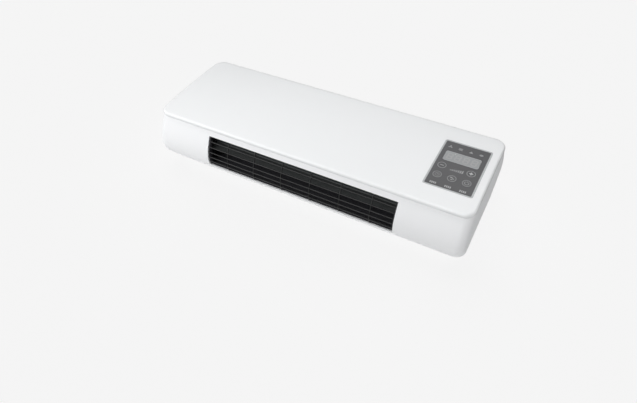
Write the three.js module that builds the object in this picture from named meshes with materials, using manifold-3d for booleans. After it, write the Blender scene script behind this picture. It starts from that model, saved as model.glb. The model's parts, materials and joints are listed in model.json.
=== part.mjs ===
// Flat fan heater: a long ceramic convector with a cross-flow blower. It is modelled lying on its
// back, so the front panel faces up (+Z), warm air leaves along -Y, cold air enters from +Y, and
// the touch controls are at the +X end. Units are millimetres and the feet stand on z = 0.
import * as THREE from 'three';
import { mergeVertices } from 'three/addons/utils/BufferGeometryUtils.js';
import Module from 'manifold-3d';

const wasm = await Module();
wasm.setup();

// ---- Driving dimensions ----------------------------------------------------------------------

const GAP = 0.3; // clearance between pieces that touch
const RUNNING = 0.06; // clearance between a turning pin and its bush, on the radius
const WALL = 2.6; // thickness of the moulded shells

const PANEL = { halfX: 280, halfY: 91, corner: 19, rimZ: 110, crown: 2, lipZ: 102.3, plate: 3.2, skirt: 6 };
const BODY = { widestZ: 50, bottomZ: 3, grooveZ: 102, corner: 14.5, lowCorner: 18.5 };
// The body's half length and half width at its groove and at its widest. Under the widest level the
// wall turns through an arc of radius turn, and then runs on straight at its draft angle.
const BODY_ENDS = { groove: 279.4, widest: 280.8, turn: 90, draft: 0.03 };
const BODY_SIDES = { groove: 87.7, widest: 108.8, turn: 28.4, draft: 0.64 };
const SEAM_Z = 35.5; // where the front and rear shells meet
const CHAMFER = { high: 3, deep: 2.5 }; // on the rear shell's bottom edge

const OUTLET = { halfX: 171.8, lowZ: 40.4, highZ: 93.4, rim: 2, sunk: 2.4, deep: 9, proudBars: 0.8 };
const BARS = { wires: 5, wire: 1.6, ribs: 6, rib: 1.8 }; // in the outlet: counts and thicknesses
const INTAKE = { halfX: 178, lowZ: 38, highZ: 92, rim: 6, depth: 6, mesh: 0.8, bays: 8, finger: 16 };
const GUARD = { frontY: 83, backY: 85.5, margin: 3, bays: 12 };
const CONTROL = { x: 229.3, y: -1.9, halfX: 35.1, halfY: 52.2, corner: 1.4, bezel: 2.6, sheet: 1 };
const WINDOW = { x: 229, y: 15.6, halfX: 27.5, halfY: 11.4, corner: 2.6 };
const CONTROL_BOARD = { halfX: 34, halfY: 50, underLip: 4.6, thick: 1.6 };
const KEYS = [[205.7, -8.8], [250.6, -8.8], [205.9, -30.6], [228.3, -30.6], [250.7, -30.6]];

const ROTOR = { y: 18, z: 58, radius: 29, halfX: 175, blades: 16, blade: 1.4, chord: 6, disc: 2, axle: 3 };
const DUCT = { halfX: 181.7, end: 2.4, frontY: -84, backY: 62, lowZ: 15, highZ: 97, sheet: 1.6, mouthY: -97 };
const HEATER = { frontY: -54, backY: -32, lowZ: 44, highZ: 90, halfX: 162 };
const FINS = { foldPitch: 13, fin: 2.6, tube: 5.4 }; // the folded strips, and the element bars between them
const FLAP = { y: -74, z: 67, chord: 36, thick: 2.6, halfX: 174, pin: 2, spine: 3.2 };
const MOTOR = { radius: 26, length: 32, shaft: 2.5, plate: 3 };
const LOUVER_MOTOR = { radius: 13.5, length: 19 };

const MAIN_BOARD = { x: 236, y: 0, halfX: 34, halfY: 58, z: 14, thick: 1.6 };
const SWITCH = { y: 24, z: 54, halfY: 10.5, halfZ: 7.5, recess: 3.4, body: 16, tilt: 10 };
const GLAND = { y: 60, z: 54, radius: 6.5, flange: 8.5, bore: 3.4, recess: 3.4 };
const FOOT = { x: 232, y: 60, radius: 8, sink: 1, stem: 3 };
const KEYHOLE = { x: 190, y: 44, head: 4.75, slot: 2.4, travel: 12 };
const SCREW_SPOTS = [[-262, -70], [-262, 70], [262, -70], [262, 70], [-150, 71], [150, 71]];
const SCREW = { head: 3.5, headHigh: 2.4, shank: 1.5, length: 15, seatZ: 17, post: 4.6, jointZ: 23 };

// ---- Finishes --------------------------------------------------------------------------------

function finish(color, roughness, metalness = 0) {
  return new THREE.MeshStandardMaterial({ color, roughness, metalness });
}

const WHITE = finish('#eef0f1', 0.35);
const SHELL_WHITE = finish('#e9ebec', 0.45);
const CHARCOAL = finish('#3c3e41', 0.55);
const OVERLAY_GREY = finish('#4a4b4d', 0.4);
const TRIM_GREY = finish('#b9bbbd', 0.35);
const LENS_GREY = finish('#9a9c9e', 0.15);
const BLACK = finish('#1b1c1e', 0.5);
const RUBBER = finish('#2a2b2c', 0.9);
const STEEL = finish('#b8bbbe', 0.3, 1);
const ALUMINIUM = finish('#c9cccf', 0.35, 1);
const BRASS = finish('#b48d45', 0.35, 1);
const BOARD_GREEN = finish('#1f5a3c', 0.6);
const CERAMIC = finish('#a9a49a', 0.7);
const HEAT_PLASTIC = finish('#26272a', 0.6);
const MESH_GREY = finish('#8b8e91', 0.8);
const BLUE_PLASTIC = finish('#2c4f8c', 0.5);

// ---- Solids ----------------------------------------------------------------------------------

// A closed three.js geometry as a solid that can be joined and cut.
function solid(geometry) {
  const shape = geometry.clone();
  shape.deleteAttribute('normal');
  shape.deleteAttribute('uv');
  const merged = mergeVertices(shape, 1e-4);
  return new wasm.Manifold(new wasm.Mesh({
    numProp: 3,
    vertProperties: new Float32Array(merged.attributes.position.array),
    triVerts: new Uint32Array(merged.index.array),
  }));
}

// A joined or cut solid back as a three.js geometry.
function geometryOf(shape) {
  const mesh = shape.getMesh();
  const geometry = new THREE.BufferGeometry();
  geometry.setAttribute('position', new THREE.BufferAttribute(new Float32Array(mesh.vertProperties), 3));
  geometry.setIndex(new THREE.BufferAttribute(new Uint32Array(mesh.triVerts), 1));
  geometry.computeVertexNormals();
  return geometry;
}

const join = (shapes) => shapes.reduce((all, shape) => all.add(shape));

// A box between two limits on each axis.
function block([x0, x1], [y0, y1], [z0, z1]) {
  const box = new THREE.BoxGeometry(x1 - x0, y1 - y0, z1 - z0);
  return solid(box.translate((x0 + x1) / 2, (y0 + y1) / 2, (z0 + z1) / 2));
}

// A round bar along X, from x0 to x1, centred on (y, z).
function barX(radius, [x0, x1], [y, z], sides = 16) {
  const bar = new THREE.CylinderGeometry(radius, radius, x1 - x0, sides).rotateZ(Math.PI / 2);
  return solid(bar.translate((x0 + x1) / 2, y, z));
}

// A round bar along Z, from z0 to z1, centred on (x, y).
function barZ(radius, [z0, z1], [x, y], sides = 16) {
  const bar = new THREE.CylinderGeometry(radius, radius, z1 - z0, sides).rotateX(Math.PI / 2);
  return solid(bar.translate(x, y, (z0 + z1) / 2));
}

// An outline in the Y-Z plane, given as [y, z] points, drawn out along X.
function profileX(points, [x0, x1]) {
  const outline = new THREE.Shape(points.map(([y, z]) => new THREE.Vector2(y, z)));
  const bar = new THREE.ExtrudeGeometry(outline, { depth: x1 - x0, bevelEnabled: false, curveSegments: 6 });
  bar.applyMatrix4(new THREE.Matrix4().makeBasis(
    new THREE.Vector3(0, 1, 0), new THREE.Vector3(0, 0, 1), new THREE.Vector3(1, 0, 0)));
  return solid(bar.translate(x0, 0, 0));
}

// A rectangle with round corners, centred on its origin.
function roundedShape(halfX, halfY, corner) {
  const [x, y] = [halfX - corner, halfY - corner];
  const outline = new THREE.Shape();
  outline.absarc(x, -y, corner, -Math.PI / 2, 0);
  outline.absarc(x, y, corner, 0, Math.PI / 2);
  outline.absarc(-x, y, corner, Math.PI / 2, Math.PI);
  outline.absarc(-x, -y, corner, Math.PI, 1.5 * Math.PI);
  return outline;
}

// An upright plate with round corners between two heights.
function plate({ x = 0, y = 0, halfX, halfY, corner }, [z0, z1], grow = 0) {
  const outline = roundedShape(halfX + grow, halfY + grow, Math.max(corner + grow, 0.5));
  const slab = new THREE.ExtrudeGeometry(outline, { depth: z1 - z0, bevelEnabled: false, curveSegments: 4 });
  return solid(slab.translate(x, y, z0));
}

// A round-cornered column whose size changes with height. Each level is { z, halfX, halfY, corner },
// and every ring of the drawn-out outline is moved out to its own level.
function column(levels, inset = 0) {
  const unit = { half: 10, corner: 4 };
  const outline = roundedShape(unit.half, unit.half, unit.corner);
  const bar = new THREE.ExtrudeGeometry(outline, {
    depth: levels.length - 1, steps: levels.length - 1, bevelEnabled: false, curveSegments: 4,
  });
  const points = bar.attributes.position;
  const centre = unit.half - unit.corner;
  for (let i = 0; i < points.count; i += 1) {
    const [x, y] = [points.getX(i), points.getY(i)];
    const level = levels[Math.round(points.getZ(i))];
    const corner = level.corner - inset;
    const [signX, signY] = [Math.sign(x), Math.sign(y)];
    const alongX = (x - signX * centre) / unit.corner;
    const alongY = (y - signY * centre) / unit.corner;
    points.setXYZ(
      i,
      signX * (level.halfX - inset - corner) + alongX * corner,
      signY * (level.halfY - inset - corner) + alongY * corner,
      level.z,
    );
  }
  return solid(bar);
}

// ---- The body's outer form -------------------------------------------------------------------

// Half the body's length or width at a height.
function halfSize(z, { groove, widest, turn, draft }) {
  if (z >= BODY.widestZ) {
    const share = (z - BODY.widestZ) / (BODY.grooveZ - BODY.widestZ);
    return groove + (widest - groove) * Math.cos((Math.PI / 2) * share);
  }
  const drop = BODY.widestZ - z;
  const angle = Math.min(Math.asin(Math.min(drop / turn, 1)), draft);
  return widest - turn * (1 - Math.cos(angle)) - Math.tan(angle) * (drop - turn * Math.sin(angle));
}

// The body's outline at a height. Its corners grow rounder towards the rear face.
function bodyLevel(z, shrink = 0) {
  const lowness = Math.max(0, (BODY.widestZ - z) / (BODY.widestZ - BODY.bottomZ));
  return {
    z,
    halfX: halfSize(z, BODY_ENDS) - shrink,
    halfY: halfSize(z, BODY_SIDES) - shrink,
    corner: BODY.corner + (BODY.lowCorner - BODY.corner) * lowness - shrink / 2,
  };
}

// The levels of the body from one height to another, about one every 7 mm, and one at the widest.
function bodyLevels(z0, z1) {
  const stretch = (low, high) => {
    const steps = Math.ceil((high - low) / 7);
    return Array.from({ length: steps + 1 }, (_, i) => bodyLevel(low + ((high - low) * i) / steps));
  };
  const { widestZ } = BODY;
  if (z0 < widestZ && z1 > widestZ) return [...stretch(z0, widestZ), ...stretch(widestZ, z1).slice(1)];
  return stretch(z0, z1);
}

// A skin that follows the body between two depths under its surface.
function skin([z0, z1], [outer, inner]) {
  const levels = bodyLevels(z0, z1);
  const hollow = levels.map((level) => ({ ...level }));
  hollow[0].z -= 1;
  hollow.at(-1).z += 1;
  return column(levels, outer).subtract(column(hollow, inner));
}

// ---- Case ------------------------------------------------------------------------------------

// A slab under the panel's crowned top surface, lowered by a depth.
function underCrown(depth, halfX = PANEL.halfX + 5) {
  const arc = Array.from({ length: 17 }, (_, i) => {
    const y = PANEL.halfY * (1 - i / 8);
    return [y, PANEL.rimZ + PANEL.crown * (1 - (y / PANEL.halfY) ** 2) - depth];
  });
  return profileX([[-PANEL.halfY, 80], [PANEL.halfY, 80], ...arc], [-halfX, halfX]);
}

function frontPanel() {
  const { halfX, halfY, corner, rimZ, crown, lipZ, skirt } = PANEL;
  // Each height up the edge, and how far the ends and the long sides are cut back there.
  const edge = [
    [lipZ, 0.8, 3], [lipZ + 1.4, 0.6, 2.3], [lipZ + 3.6, 0.3, 1.1], [rimZ - 2.2, 0, 0],
    [rimZ - 1.4, 0, 0], [rimZ - 0.5, 0.4, 0.4], [rimZ, 1.1, 1.1], [rimZ + crown + 1, 3.2, 3.2],
  ];
  const outside = column(edge.map(([z, cutX, cutY]) => ({
    z, halfX: halfX - cutX, halfY: halfY - cutY, corner: corner - cutY / 2,
  }))).intersect(underCrown(0));
  const hollow = { halfX: halfX - skirt, halfY: halfY - skirt, corner: corner - 4 };
  const pocket = plate(hollow, [lipZ - 1, rimZ - PANEL.plate]);
  const seat = plate(CONTROL, [90, 130], CONTROL.bezel + GAP).subtract(underCrown(CONTROL.sheet + 0.2));
  const sight = plate(WINDOW, [lipZ - 1, rimZ + crown + 2], -2);
  return outside.subtract(pocket).subtract(seat).subtract(sight);
}

function frontShell() {
  const top = BODY.grooveZ;
  const outside = column(bodyLevels(SEAM_Z + GAP, top));
  const inside = bodyLevels(SEAM_Z + GAP - 1, top - WALL);
  let shell = outside.subtract(column(inside, WALL));
  for (const [x, y] of SCREW_SPOTS) {
    shell = shell.add(barZ(SCREW.post, [SCREW.jointZ + GAP, top - WALL + 0.5], [x, y], 12));
  }
  const wallX = -BODY_ENDS.widest;
  const inland = wallX + SWITCH.recess + WALL;
  const around = (middle, half) => [middle - half, middle + half];
  const switchBlock = (spanX, grow) => block(
    spanX, around(SWITCH.y, SWITCH.halfY + grow), around(SWITCH.z, SWITCH.halfZ + grow));
  shell = shell.add(switchBlock([wallX + 1.5, inland], 4.5));
  shell = shell.add(barX(GLAND.flange + WALL, [wallX + 1.5, inland], [GLAND.y, GLAND.z]));
  for (const [x, y] of SCREW_SPOTS) {
    shell = shell.subtract(barZ(SCREW.shank + GAP, [SCREW.jointZ - 1, SCREW.jointZ + 14], [x, y], 10));
  }
  return shell
    .subtract(block([-OUTLET.halfX, OUTLET.halfX], [-120, -80], [OUTLET.lowZ, OUTLET.highZ]))
    .subtract(block([-INTAKE.halfX, INTAKE.halfX], [85, 120], [INTAKE.lowZ, INTAKE.highZ]))
    .subtract(plate({ ...CONTROL, corner: 6 }, [top - WALL - 1, top + 1], 1.5))
    .subtract(switchBlock([wallX - 5, wallX + SWITCH.recess], 0.6))
    .subtract(switchBlock([wallX - 5, wallX + 20], -1))
    .subtract(barX(GLAND.flange + 0.5, [wallX - 5, wallX + GLAND.recess], [GLAND.y, GLAND.z]))
    .subtract(barX(GLAND.radius + GAP, [wallX - 5, wallX + 20], [GLAND.y, GLAND.z]));
}

function rearShell() {
  const low = BODY.bottomZ;
  const { high, deep } = CHAMFER;
  const levels = [bodyLevel(low, deep), ...bodyLevels(low + high, SEAM_Z - GAP)];
  const inside = [bodyLevel(low + WALL, deep), ...bodyLevels(low + high + WALL, SEAM_Z + 1)];
  let shell = column(levels).subtract(column(inside, WALL));
  for (const [x, y] of SCREW_SPOTS) {
    shell = shell.add(barZ(SCREW.post + 1, [low + 1, SCREW.jointZ], [x, y], 12));
  }
  for (const [x, y] of SCREW_SPOTS) {
    shell = shell.subtract(barZ(SCREW.head + GAP, [low - 1, SCREW.seatZ], [x, y], 12));
    shell = shell.subtract(barZ(SCREW.shank + GAP, [SCREW.seatZ - 1, SCREW.jointZ + 1], [x, y], 10));
  }
  for (const x of [-FOOT.x, FOOT.x]) {
    for (const y of [-FOOT.y, FOOT.y]) {
      shell = shell.subtract(barZ(FOOT.radius + GAP, [low - 1, low + FOOT.sink], [x, y]));
      shell = shell.subtract(barZ(FOOT.stem + GAP, [low - 1, low + WALL + 1], [x, y], 12));
    }
  }
  for (const x of [-KEYHOLE.x, KEYHOLE.x]) {
    const through = [low - 1, low + WALL + 1];
    shell = shell.subtract(barZ(KEYHOLE.head, through, [x, KEYHOLE.y]));
    const slotEnd = KEYHOLE.y + KEYHOLE.travel;
    shell = shell.subtract(block([x - KEYHOLE.slot, x + KEYHOLE.slot], [KEYHOLE.y, slotEnd], through));
    shell = shell.subtract(barZ(KEYHOLE.slot, through, [x, slotEnd], 12));
  }
  return shell;
}

// ---- Outlet grille ---------------------------------------------------------------------------

function outletGrille() {
  const { halfX, lowZ, highZ, rim, sunk, deep, proudBars } = OUTLET;
  const { wires, wire, ribs, rib } = BARS;
  const depth = [-120, -80];
  const spanX = [-halfX + GAP, halfX - GAP];
  const spanZ = [lowZ + GAP, highZ - GAP];
  const frame = block(spanX, depth, spanZ)
    .subtract(block([-halfX + rim, halfX - rim], depth, [lowZ + rim, highZ - rim]))
    .intersect(skin([lowZ - 2, highZ + 2], [sunk, deep]));
  const pitchZ = (highZ - lowZ) / (wires + 1);
  const pitchX = (2 * halfX) / (ribs + 0.5); // the end bays are three quarters of a middle one
  const rows = Array.from({ length: wires }, (_, i) => lowZ + (i + 1) * pitchZ)
    .map((z) => block(spanX, depth, [z - wire / 2, z + wire / 2]));
  const uprights = Array.from({ length: ribs }, (_, i) => (i - (ribs - 1) / 2) * pitchX)
    .map((x) => block([x - rib / 2, x + rib / 2], depth, spanZ));
  const bars = join([...rows, ...uprights]).intersect(skin([lowZ - 2, highZ + 2], [proudBars, sunk + 1.4]));
  return frame.add(bars);
}

// ---- Controls --------------------------------------------------------------------------------

function controlBezel() {
  const proud = plate(CONTROL, [90, 130], CONTROL.bezel).subtract(plate(CONTROL, [80, 140], GAP));
  return proud.intersect(underCrown(-0.2)).subtract(underCrown(CONTROL.sheet - 0.1));
}

function controlOverlay() {
  const sheet = plate(CONTROL, [90, 130]).intersect(underCrown(0)).subtract(underCrown(CONTROL.sheet - 0.1));
  return sheet.subtract(plate(WINDOW, [80, 140], GAP));
}

function displayWindow() {
  return plate(WINDOW, [90, 130]).intersect(underCrown(-0.1)).subtract(underCrown(CONTROL.sheet - 0.1));
}

function controls() {
  const group = new THREE.Group();
  const { halfX, halfY, underLip, thick } = CONTROL_BOARD;
  const boardZ = PANEL.lipZ - underLip;
  const boardTop = boardZ + thick;
  const { x, y } = CONTROL;
  const board = block([x - halfX, x + halfX], [y - halfY, y + halfY], [boardZ, boardTop]);
  const moduleTop = PANEL.rimZ - 0.4;
  group.add(
    piece('control_bezel', controlBezel(), TRIM_GREY),
    piece('control_overlay', controlOverlay(), OVERLAY_GREY),
    piece('display_window', displayWindow(), LENS_GREY),
    piece('display_module', plate(WINDOW, [boardTop + GAP, moduleTop], -3), BLACK),
    piece('control_board', board, BOARD_GREEN),
  );
  const foot = boardTop + GAP;
  const head = PANEL.rimZ - PANEL.plate - GAP;
  const spring = new THREE.CylinderGeometry(2.6, 2.6, head - foot, 12).rotateX(Math.PI / 2);
  KEYS.forEach(([keyX, keyY], i) => {
    const mesh = piece(`touch_spring_${i + 1}`, solid(spring), STEEL);
    mesh.position.set(keyX, keyY, (foot + head) / 2);
    group.add(mesh);
  });
  return group;
}

// ---- Intake ----------------------------------------------------------------------------------

function intake() {
  const { halfX, lowZ, highZ, rim, depth, mesh, bays, finger } = INTAKE;
  const outerX = halfX - GAP;
  const outerZ = [lowZ + GAP, highZ - GAP];
  const back = [60, 120];
  const outline = block([-outerX, outerX], back, outerZ);
  const opening = block([-outerX + rim, outerX - rim], back, [outerZ[0] + rim, outerZ[1] - rim]);
  let bars = outline.subtract(opening);
  for (let i = 1; i < bays; i += 1) {
    const x = -outerX + (2 * outerX * i) / bays;
    bars = bars.add(block([x - 1, x + 1], back, [outerZ[0] + 1, outerZ[1] - 1]));
  }
  const fingerSlot = block([-finger, finger], back, [outerZ[0] - 5, outerZ[0] + 3.2]);
  const frame = bars.intersect(skin([lowZ - 2, highZ + 2], [0.5, depth])).subtract(fingerSlot);
  const sheet = block([-outerX + 2, outerX - 2], back, [outerZ[0] + 4, outerZ[1] - 2])
    .intersect(skin([lowZ - 2, highZ + 2], [depth + GAP, depth + GAP + mesh]));
  const { frontY, backY, margin } = GUARD;
  const guardDepth = [frontY, backY];
  let guard = block([-halfX - margin, halfX + margin], guardDepth, [lowZ - 2, highZ + 2])
    .subtract(block([-halfX + margin, halfX - margin], back, [lowZ + margin, highZ - margin]));
  for (let i = 1; i < GUARD.bays; i += 1) {
    const x = -halfX + (2 * halfX * i) / GUARD.bays;
    guard = guard.add(block([x - 1, x + 1], guardDepth, [lowZ, highZ]));
  }
  const group = new THREE.Group();
  group.add(
    piece('filter_frame', frame, SHELL_WHITE),
    piece('filter_mesh', sheet, MESH_GREY),
    piece('intake_guard', guard, CHARCOAL),
  );
  return group;
}

// ---- Blower ----------------------------------------------------------------------------------

// Everything in this group is placed about the rotor's axis.
function impeller() {
  const { radius, halfX, blades, blade, chord, disc } = ROTOR;
  const hubBore = 9 + GAP;
  let rotor = barX(radius, [-halfX, -halfX + disc], [0, 0], blades)
    .subtract(barX(hubBore, [-halfX - 1, -halfX + disc + 1], [0, 0], blades));
  rotor = rotor.add(barX(radius, [halfX - disc, halfX], [0, 0], blades))
    .subtract(barX(ROTOR.axle + GAP, [halfX - 4, halfX + 1], [0, 0], 12));
  for (const x of [-halfX / 3, halfX / 3]) {
    const ring = barX(radius, [x - disc / 2, x + disc / 2], [0, 0], blades);
    rotor = rotor.add(ring.subtract(barX(radius - chord - 3, [x - 2, x + 2], [0, 0], blades)));
  }
  for (let i = 0; i < blades; i += 1) {
    const vane = new THREE.BoxGeometry(2 * halfX - 1, chord, blade);
    vane.rotateX(0.5).translate(0, radius - chord / 2 - 0.9, 0).rotateX((2 * Math.PI * i) / blades);
    rotor = rotor.add(solid(vane));
  }
  return rotor;
}

// The curved wall under the rotor, which opens out into the floor of the duct.
function fanScroll() {
  const { sheet, halfX, mouthY } = DUCT;
  const turns = 10;
  const start = 0.25;
  const sweep = 2.25;
  const wall = (extra) => Array.from({ length: turns + 1 }, (_, i) => {
    const angle = start - (sweep * i) / turns;
    const radius = ROTOR.radius + 3 + (6 * i) / turns + extra;
    return [ROTOR.y + radius * Math.cos(angle), ROTOR.z + radius * Math.sin(angle)];
  });
  const floor = HEATER.lowZ - 3;
  const lip = HEATER.backY + 8;
  return profileX([
    ...wall(0), [lip, floor], [mouthY, floor], [mouthY, floor - sheet], [lip, floor - sheet],
    ...wall(sheet).reverse(),
  ], [-halfX, halfX]);
}

// The wall above the rotor that keeps the blown air from turning back.
function airTongue() {
  const { highZ, sheet, halfX } = DUCT;
  const top = highZ - 2;
  const mouth = -82;
  const tip = [ROTOR.y - 22, ROTOR.z + 25.5];
  return profileX([
    [mouth, top - sheet], [HEATER.backY + 8, top - sheet], [tip[0] - 1, tip[1]], [tip[0] + 1, tip[1] + 1],
    [tip[0] + 9, top - sheet], [ROTOR.y + 14, top - sheet], [ROTOR.y + 14, top], [mouth, top],
  ], [-halfX, halfX]);
}

function ductEnd(side) {
  const { halfX, end, frontY, backY, lowZ, highZ } = DUCT;
  const inner = side * (halfX + GAP);
  const outer = side * (halfX + GAP + end);
  const span = [Math.min(inner, outer), Math.max(inner, outer)];
  const wide = [span[0] - 1, span[1] + 1];
  const cheek = block(span, [frontY, backY], [lowZ, highZ]);
  return cheek
    .subtract(barX(side > 0 ? 9 + GAP : 7, wide, [ROTOR.y, ROTOR.z], 24))
    .subtract(barX(side > 0 ? FLAP.pin + 1 : 5 + GAP, wide, [FLAP.y, FLAP.z], 16));
}

function blower() {
  const group = new THREE.Group();
  const cheekX = DUCT.halfX + GAP + DUCT.end;
  const axis = new THREE.Group();
  axis.position.set(0, ROTOR.y, ROTOR.z);
  const hubX = [-ROTOR.halfX - 2, -ROTOR.halfX + 8];
  const shaftHole = MOTOR.shaft + GAP;
  const hub = barX(9, hubX, [0, 0], 24).subtract(barX(shaftHole, [hubX[0] - 1, hubX[1] - 2], [0, 0], 12));
  const axle = barX(ROTOR.axle, [ROTOR.halfX - 8, cheekX + 8], [0, 0], 16)
    .add(barX(6, [ROTOR.halfX - 8, ROTOR.halfX - ROTOR.disc - GAP], [0, 0], 20));
  const motorX = [-cheekX - 2 * GAP - MOTOR.plate - MOTOR.length, -cheekX - 2 * GAP - MOTOR.plate];
  const shaftX = [motorX[0] - 4, hubX[1] - 3];
  const caseWork = barX(MOTOR.radius, motorX, [0, 0], 28)
    .add(barX(10, [motorX[0] - 3, motorX[0] + 1], [0, 0], 20));
  const ears = block([-cheekX - GAP - MOTOR.plate, -cheekX - GAP], [-30, 30], [-12, 12])
    .subtract(barX(8, [-cheekX - 10, -cheekX + 1], [0, 0], 20));
  const bush = barX(6, [cheekX - 1.5, cheekX + 5], [0, 0], 20)
    .subtract(barX(ROTOR.axle + RUNNING, [cheekX - 3, cheekX + 6], [0, 0], 32));
  const holder = barX(9, [cheekX - 2, cheekX + 3], [0, 0], 24)
    .add(barX(12, [cheekX + GAP, cheekX + 3], [0, 0], 24))
    .subtract(barX(6 + GAP, [cheekX - 3, cheekX + 6], [0, 0], 20));
  axis.add(
    piece('crossflow_impeller', impeller(), CHARCOAL),
    piece('drive_coupling', hub, RUBBER),
    piece('stub_axle', axle, STEEL),
    piece('motor_shaft', barX(MOTOR.shaft, shaftX, [0, 0], 16), STEEL),
    piece('fan_motor', caseWork.subtract(barX(shaftHole, [motorX[0] - 5, motorX[1] + 1], [0, 0], 16)), STEEL),
    piece('motor_bracket', ears, STEEL),
    piece('shaft_bearing', bush, BRASS),
    piece('bearing_holder', holder, RUBBER),
  );
  group.add(
    axis,
    piece('fan_scroll', fanScroll(), BLACK),
    piece('air_tongue', airTongue(), BLACK),
    piece('duct_end_left', ductEnd(-1), BLACK),
    piece('duct_end_right', ductEnd(1), BLACK),
  );
  return group;
}

// ---- Heater ----------------------------------------------------------------------------------

// A strip of aluminium folded to and fro between two heights.
function finPack([z0, z1]) {
  const { halfX, frontY, backY } = HEATER;
  const { foldPitch, fin } = FINS;
  const folds = Math.floor((4 * halfX) / foldPitch);
  const path = (lift) => Array.from({ length: folds + 1 }, (_, i) => {
    const x = -halfX + 1 + ((2 * halfX - 2) * i) / folds;
    return new THREE.Vector2(x, (i % 2 === 0 ? z0 : z1 - fin) + lift);
  });
  const outline = new THREE.Shape([...path(0), ...path(fin).reverse()]);
  const strip = new THREE.ExtrudeGeometry(outline, { depth: backY - frontY - 2, bevelEnabled: false });
  return solid(strip.rotateX(Math.PI / 2).translate(0, backY - 1, 0));
}

function heater() {
  const { halfX, lowZ, highZ, frontY, backY } = HEATER;
  const { tube } = FINS;
  const group = new THREE.Group();
  const packHigh = (highZ - lowZ - 2 * tube - 4 * GAP) / 3;
  for (let i = 0; i < 3; i += 1) {
    const z = lowZ + i * (packHigh + tube + 2 * GAP);
    group.add(piece(`fin_pack_${i + 1}`, finPack([z, z + packHigh]), ALUMINIUM));
  }
  for (let i = 0; i < 2; i += 1) {
    const z = lowZ + (i + 1) * (packHigh + GAP) + i * (tube + GAP);
    const element = block([-halfX - 4, halfX + 4], [frontY + 2, backY - 2], [z, z + tube]);
    group.add(piece(`ptc_element_${i + 1}`, element, CERAMIC));
  }
  for (const [side, name] of [[-1, 'heater_cap_left'], [1, 'heater_cap_right']]) {
    const ends = [side * (halfX + GAP), side * (DUCT.halfX - GAP)].sort((a, b) => a - b);
    let cap = block(ends, [frontY, backY], [lowZ - 2, highZ + 2]);
    for (let i = 0; i < 2; i += 1) {
      const z = lowZ + (i + 1) * (packHigh + GAP) + i * (tube + GAP);
      const slot = [side * (halfX - 1), side * (halfX + 4 + GAP)].sort((a, b) => a - b);
      cap = cap.subtract(block(slot, [frontY + 2 - GAP, backY - 2 + GAP], [z - GAP, z + tube + GAP]));
    }
    group.add(piece(name, cap, HEAT_PLASTIC));
  }
  const plateX = DUCT.halfX + DUCT.end + 2 * GAP;
  const cutout = barX(8, [plateX, plateX + 7], [-38, 60]).add(barX(5, [plateX + 6, plateX + 10], [-38, 60]));
  const fuse = new THREE.CylinderGeometry(2.6, 2.6, 22, 12);
  group.add(
    piece('thermal_cutout', cutout, HEAT_PLASTIC),
    piece('thermal_fuse', solid(fuse.translate(plateX + 2.6, -38, 82)), TRIM_GREY),
  );
  return group;
}

// ---- Swinging flap ---------------------------------------------------------------------------

function louver() {
  const group = new THREE.Group();
  const { chord, thick, halfX, pin } = FLAP;
  const cheekX = DUCT.halfX + GAP + DUCT.end;
  group.position.set(0, FLAP.y, FLAP.z);
  const blade = profileX([
    [-chord / 2, 0], [-chord / 4, -thick / 2], [chord / 4, -thick / 2], [chord / 2, 0],
    [chord / 4, thick / 2], [-chord / 4, thick / 2],
  ], [-halfX, halfX]);
  const spine = barX(FLAP.spine, [-halfX, halfX], [0, 0], 12);
  const pins = barX(pin, [-cheekX - 3, cheekX + 9], [0, 0], 12);
  const motorX = [cheekX + GAP, cheekX + GAP + LOUVER_MOTOR.length];
  const stepper = barX(LOUVER_MOTOR.radius, motorX, [0, 0], 24)
    .subtract(barX(pin + GAP, [motorX[0] - 1, motorX[0] + 11], [0, 0], 12));
  const bush = barX(5, [-cheekX - 2, -DUCT.halfX + 1], [0, 0], 16)
    .add(barX(6.5, [-cheekX - 2, -cheekX - GAP], [0, 0], 16))
    .subtract(barX(pin + RUNNING, [-cheekX - 5, -DUCT.halfX + 3], [0, 0], 32));
  group.add(
    piece('louver_flap', join([blade, spine, pins]), CHARCOAL),
    piece('louver_motor', stepper, STEEL),
    piece('louver_bush', bush, HEAT_PLASTIC),
  );
  return group;
}

// ---- Electronics and mains entry -------------------------------------------------------------

function electronics() {
  const group = new THREE.Group();
  const { x, y, halfX, halfY, z, thick } = MAIN_BOARD;
  const top = z + thick + GAP;
  const relay = block([-9, 9], [-7, 7], [0, 15]);
  const board = block([x - halfX, x + halfX], [y - halfY, y + halfY], [z, z + thick]);
  group.add(piece('main_board', board, BOARD_GREEN));
  [-34, -10].forEach((relayY, i) => {
    const mesh = piece(`relay_${i + 1}`, relay, BLUE_PLASTIC);
    mesh.position.set(x - 18, relayY, top);
    group.add(mesh);
  });
  group.add(
    piece('filter_capacitor', barZ(8, [top, top + 24], [x + 14, -28]), BLACK),
    piece('terminal_block', block([-250, -216], [-42, -24], [BODY.bottomZ + WALL + GAP, 24]), SHELL_WHITE),
  );
  return group;
}

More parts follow.
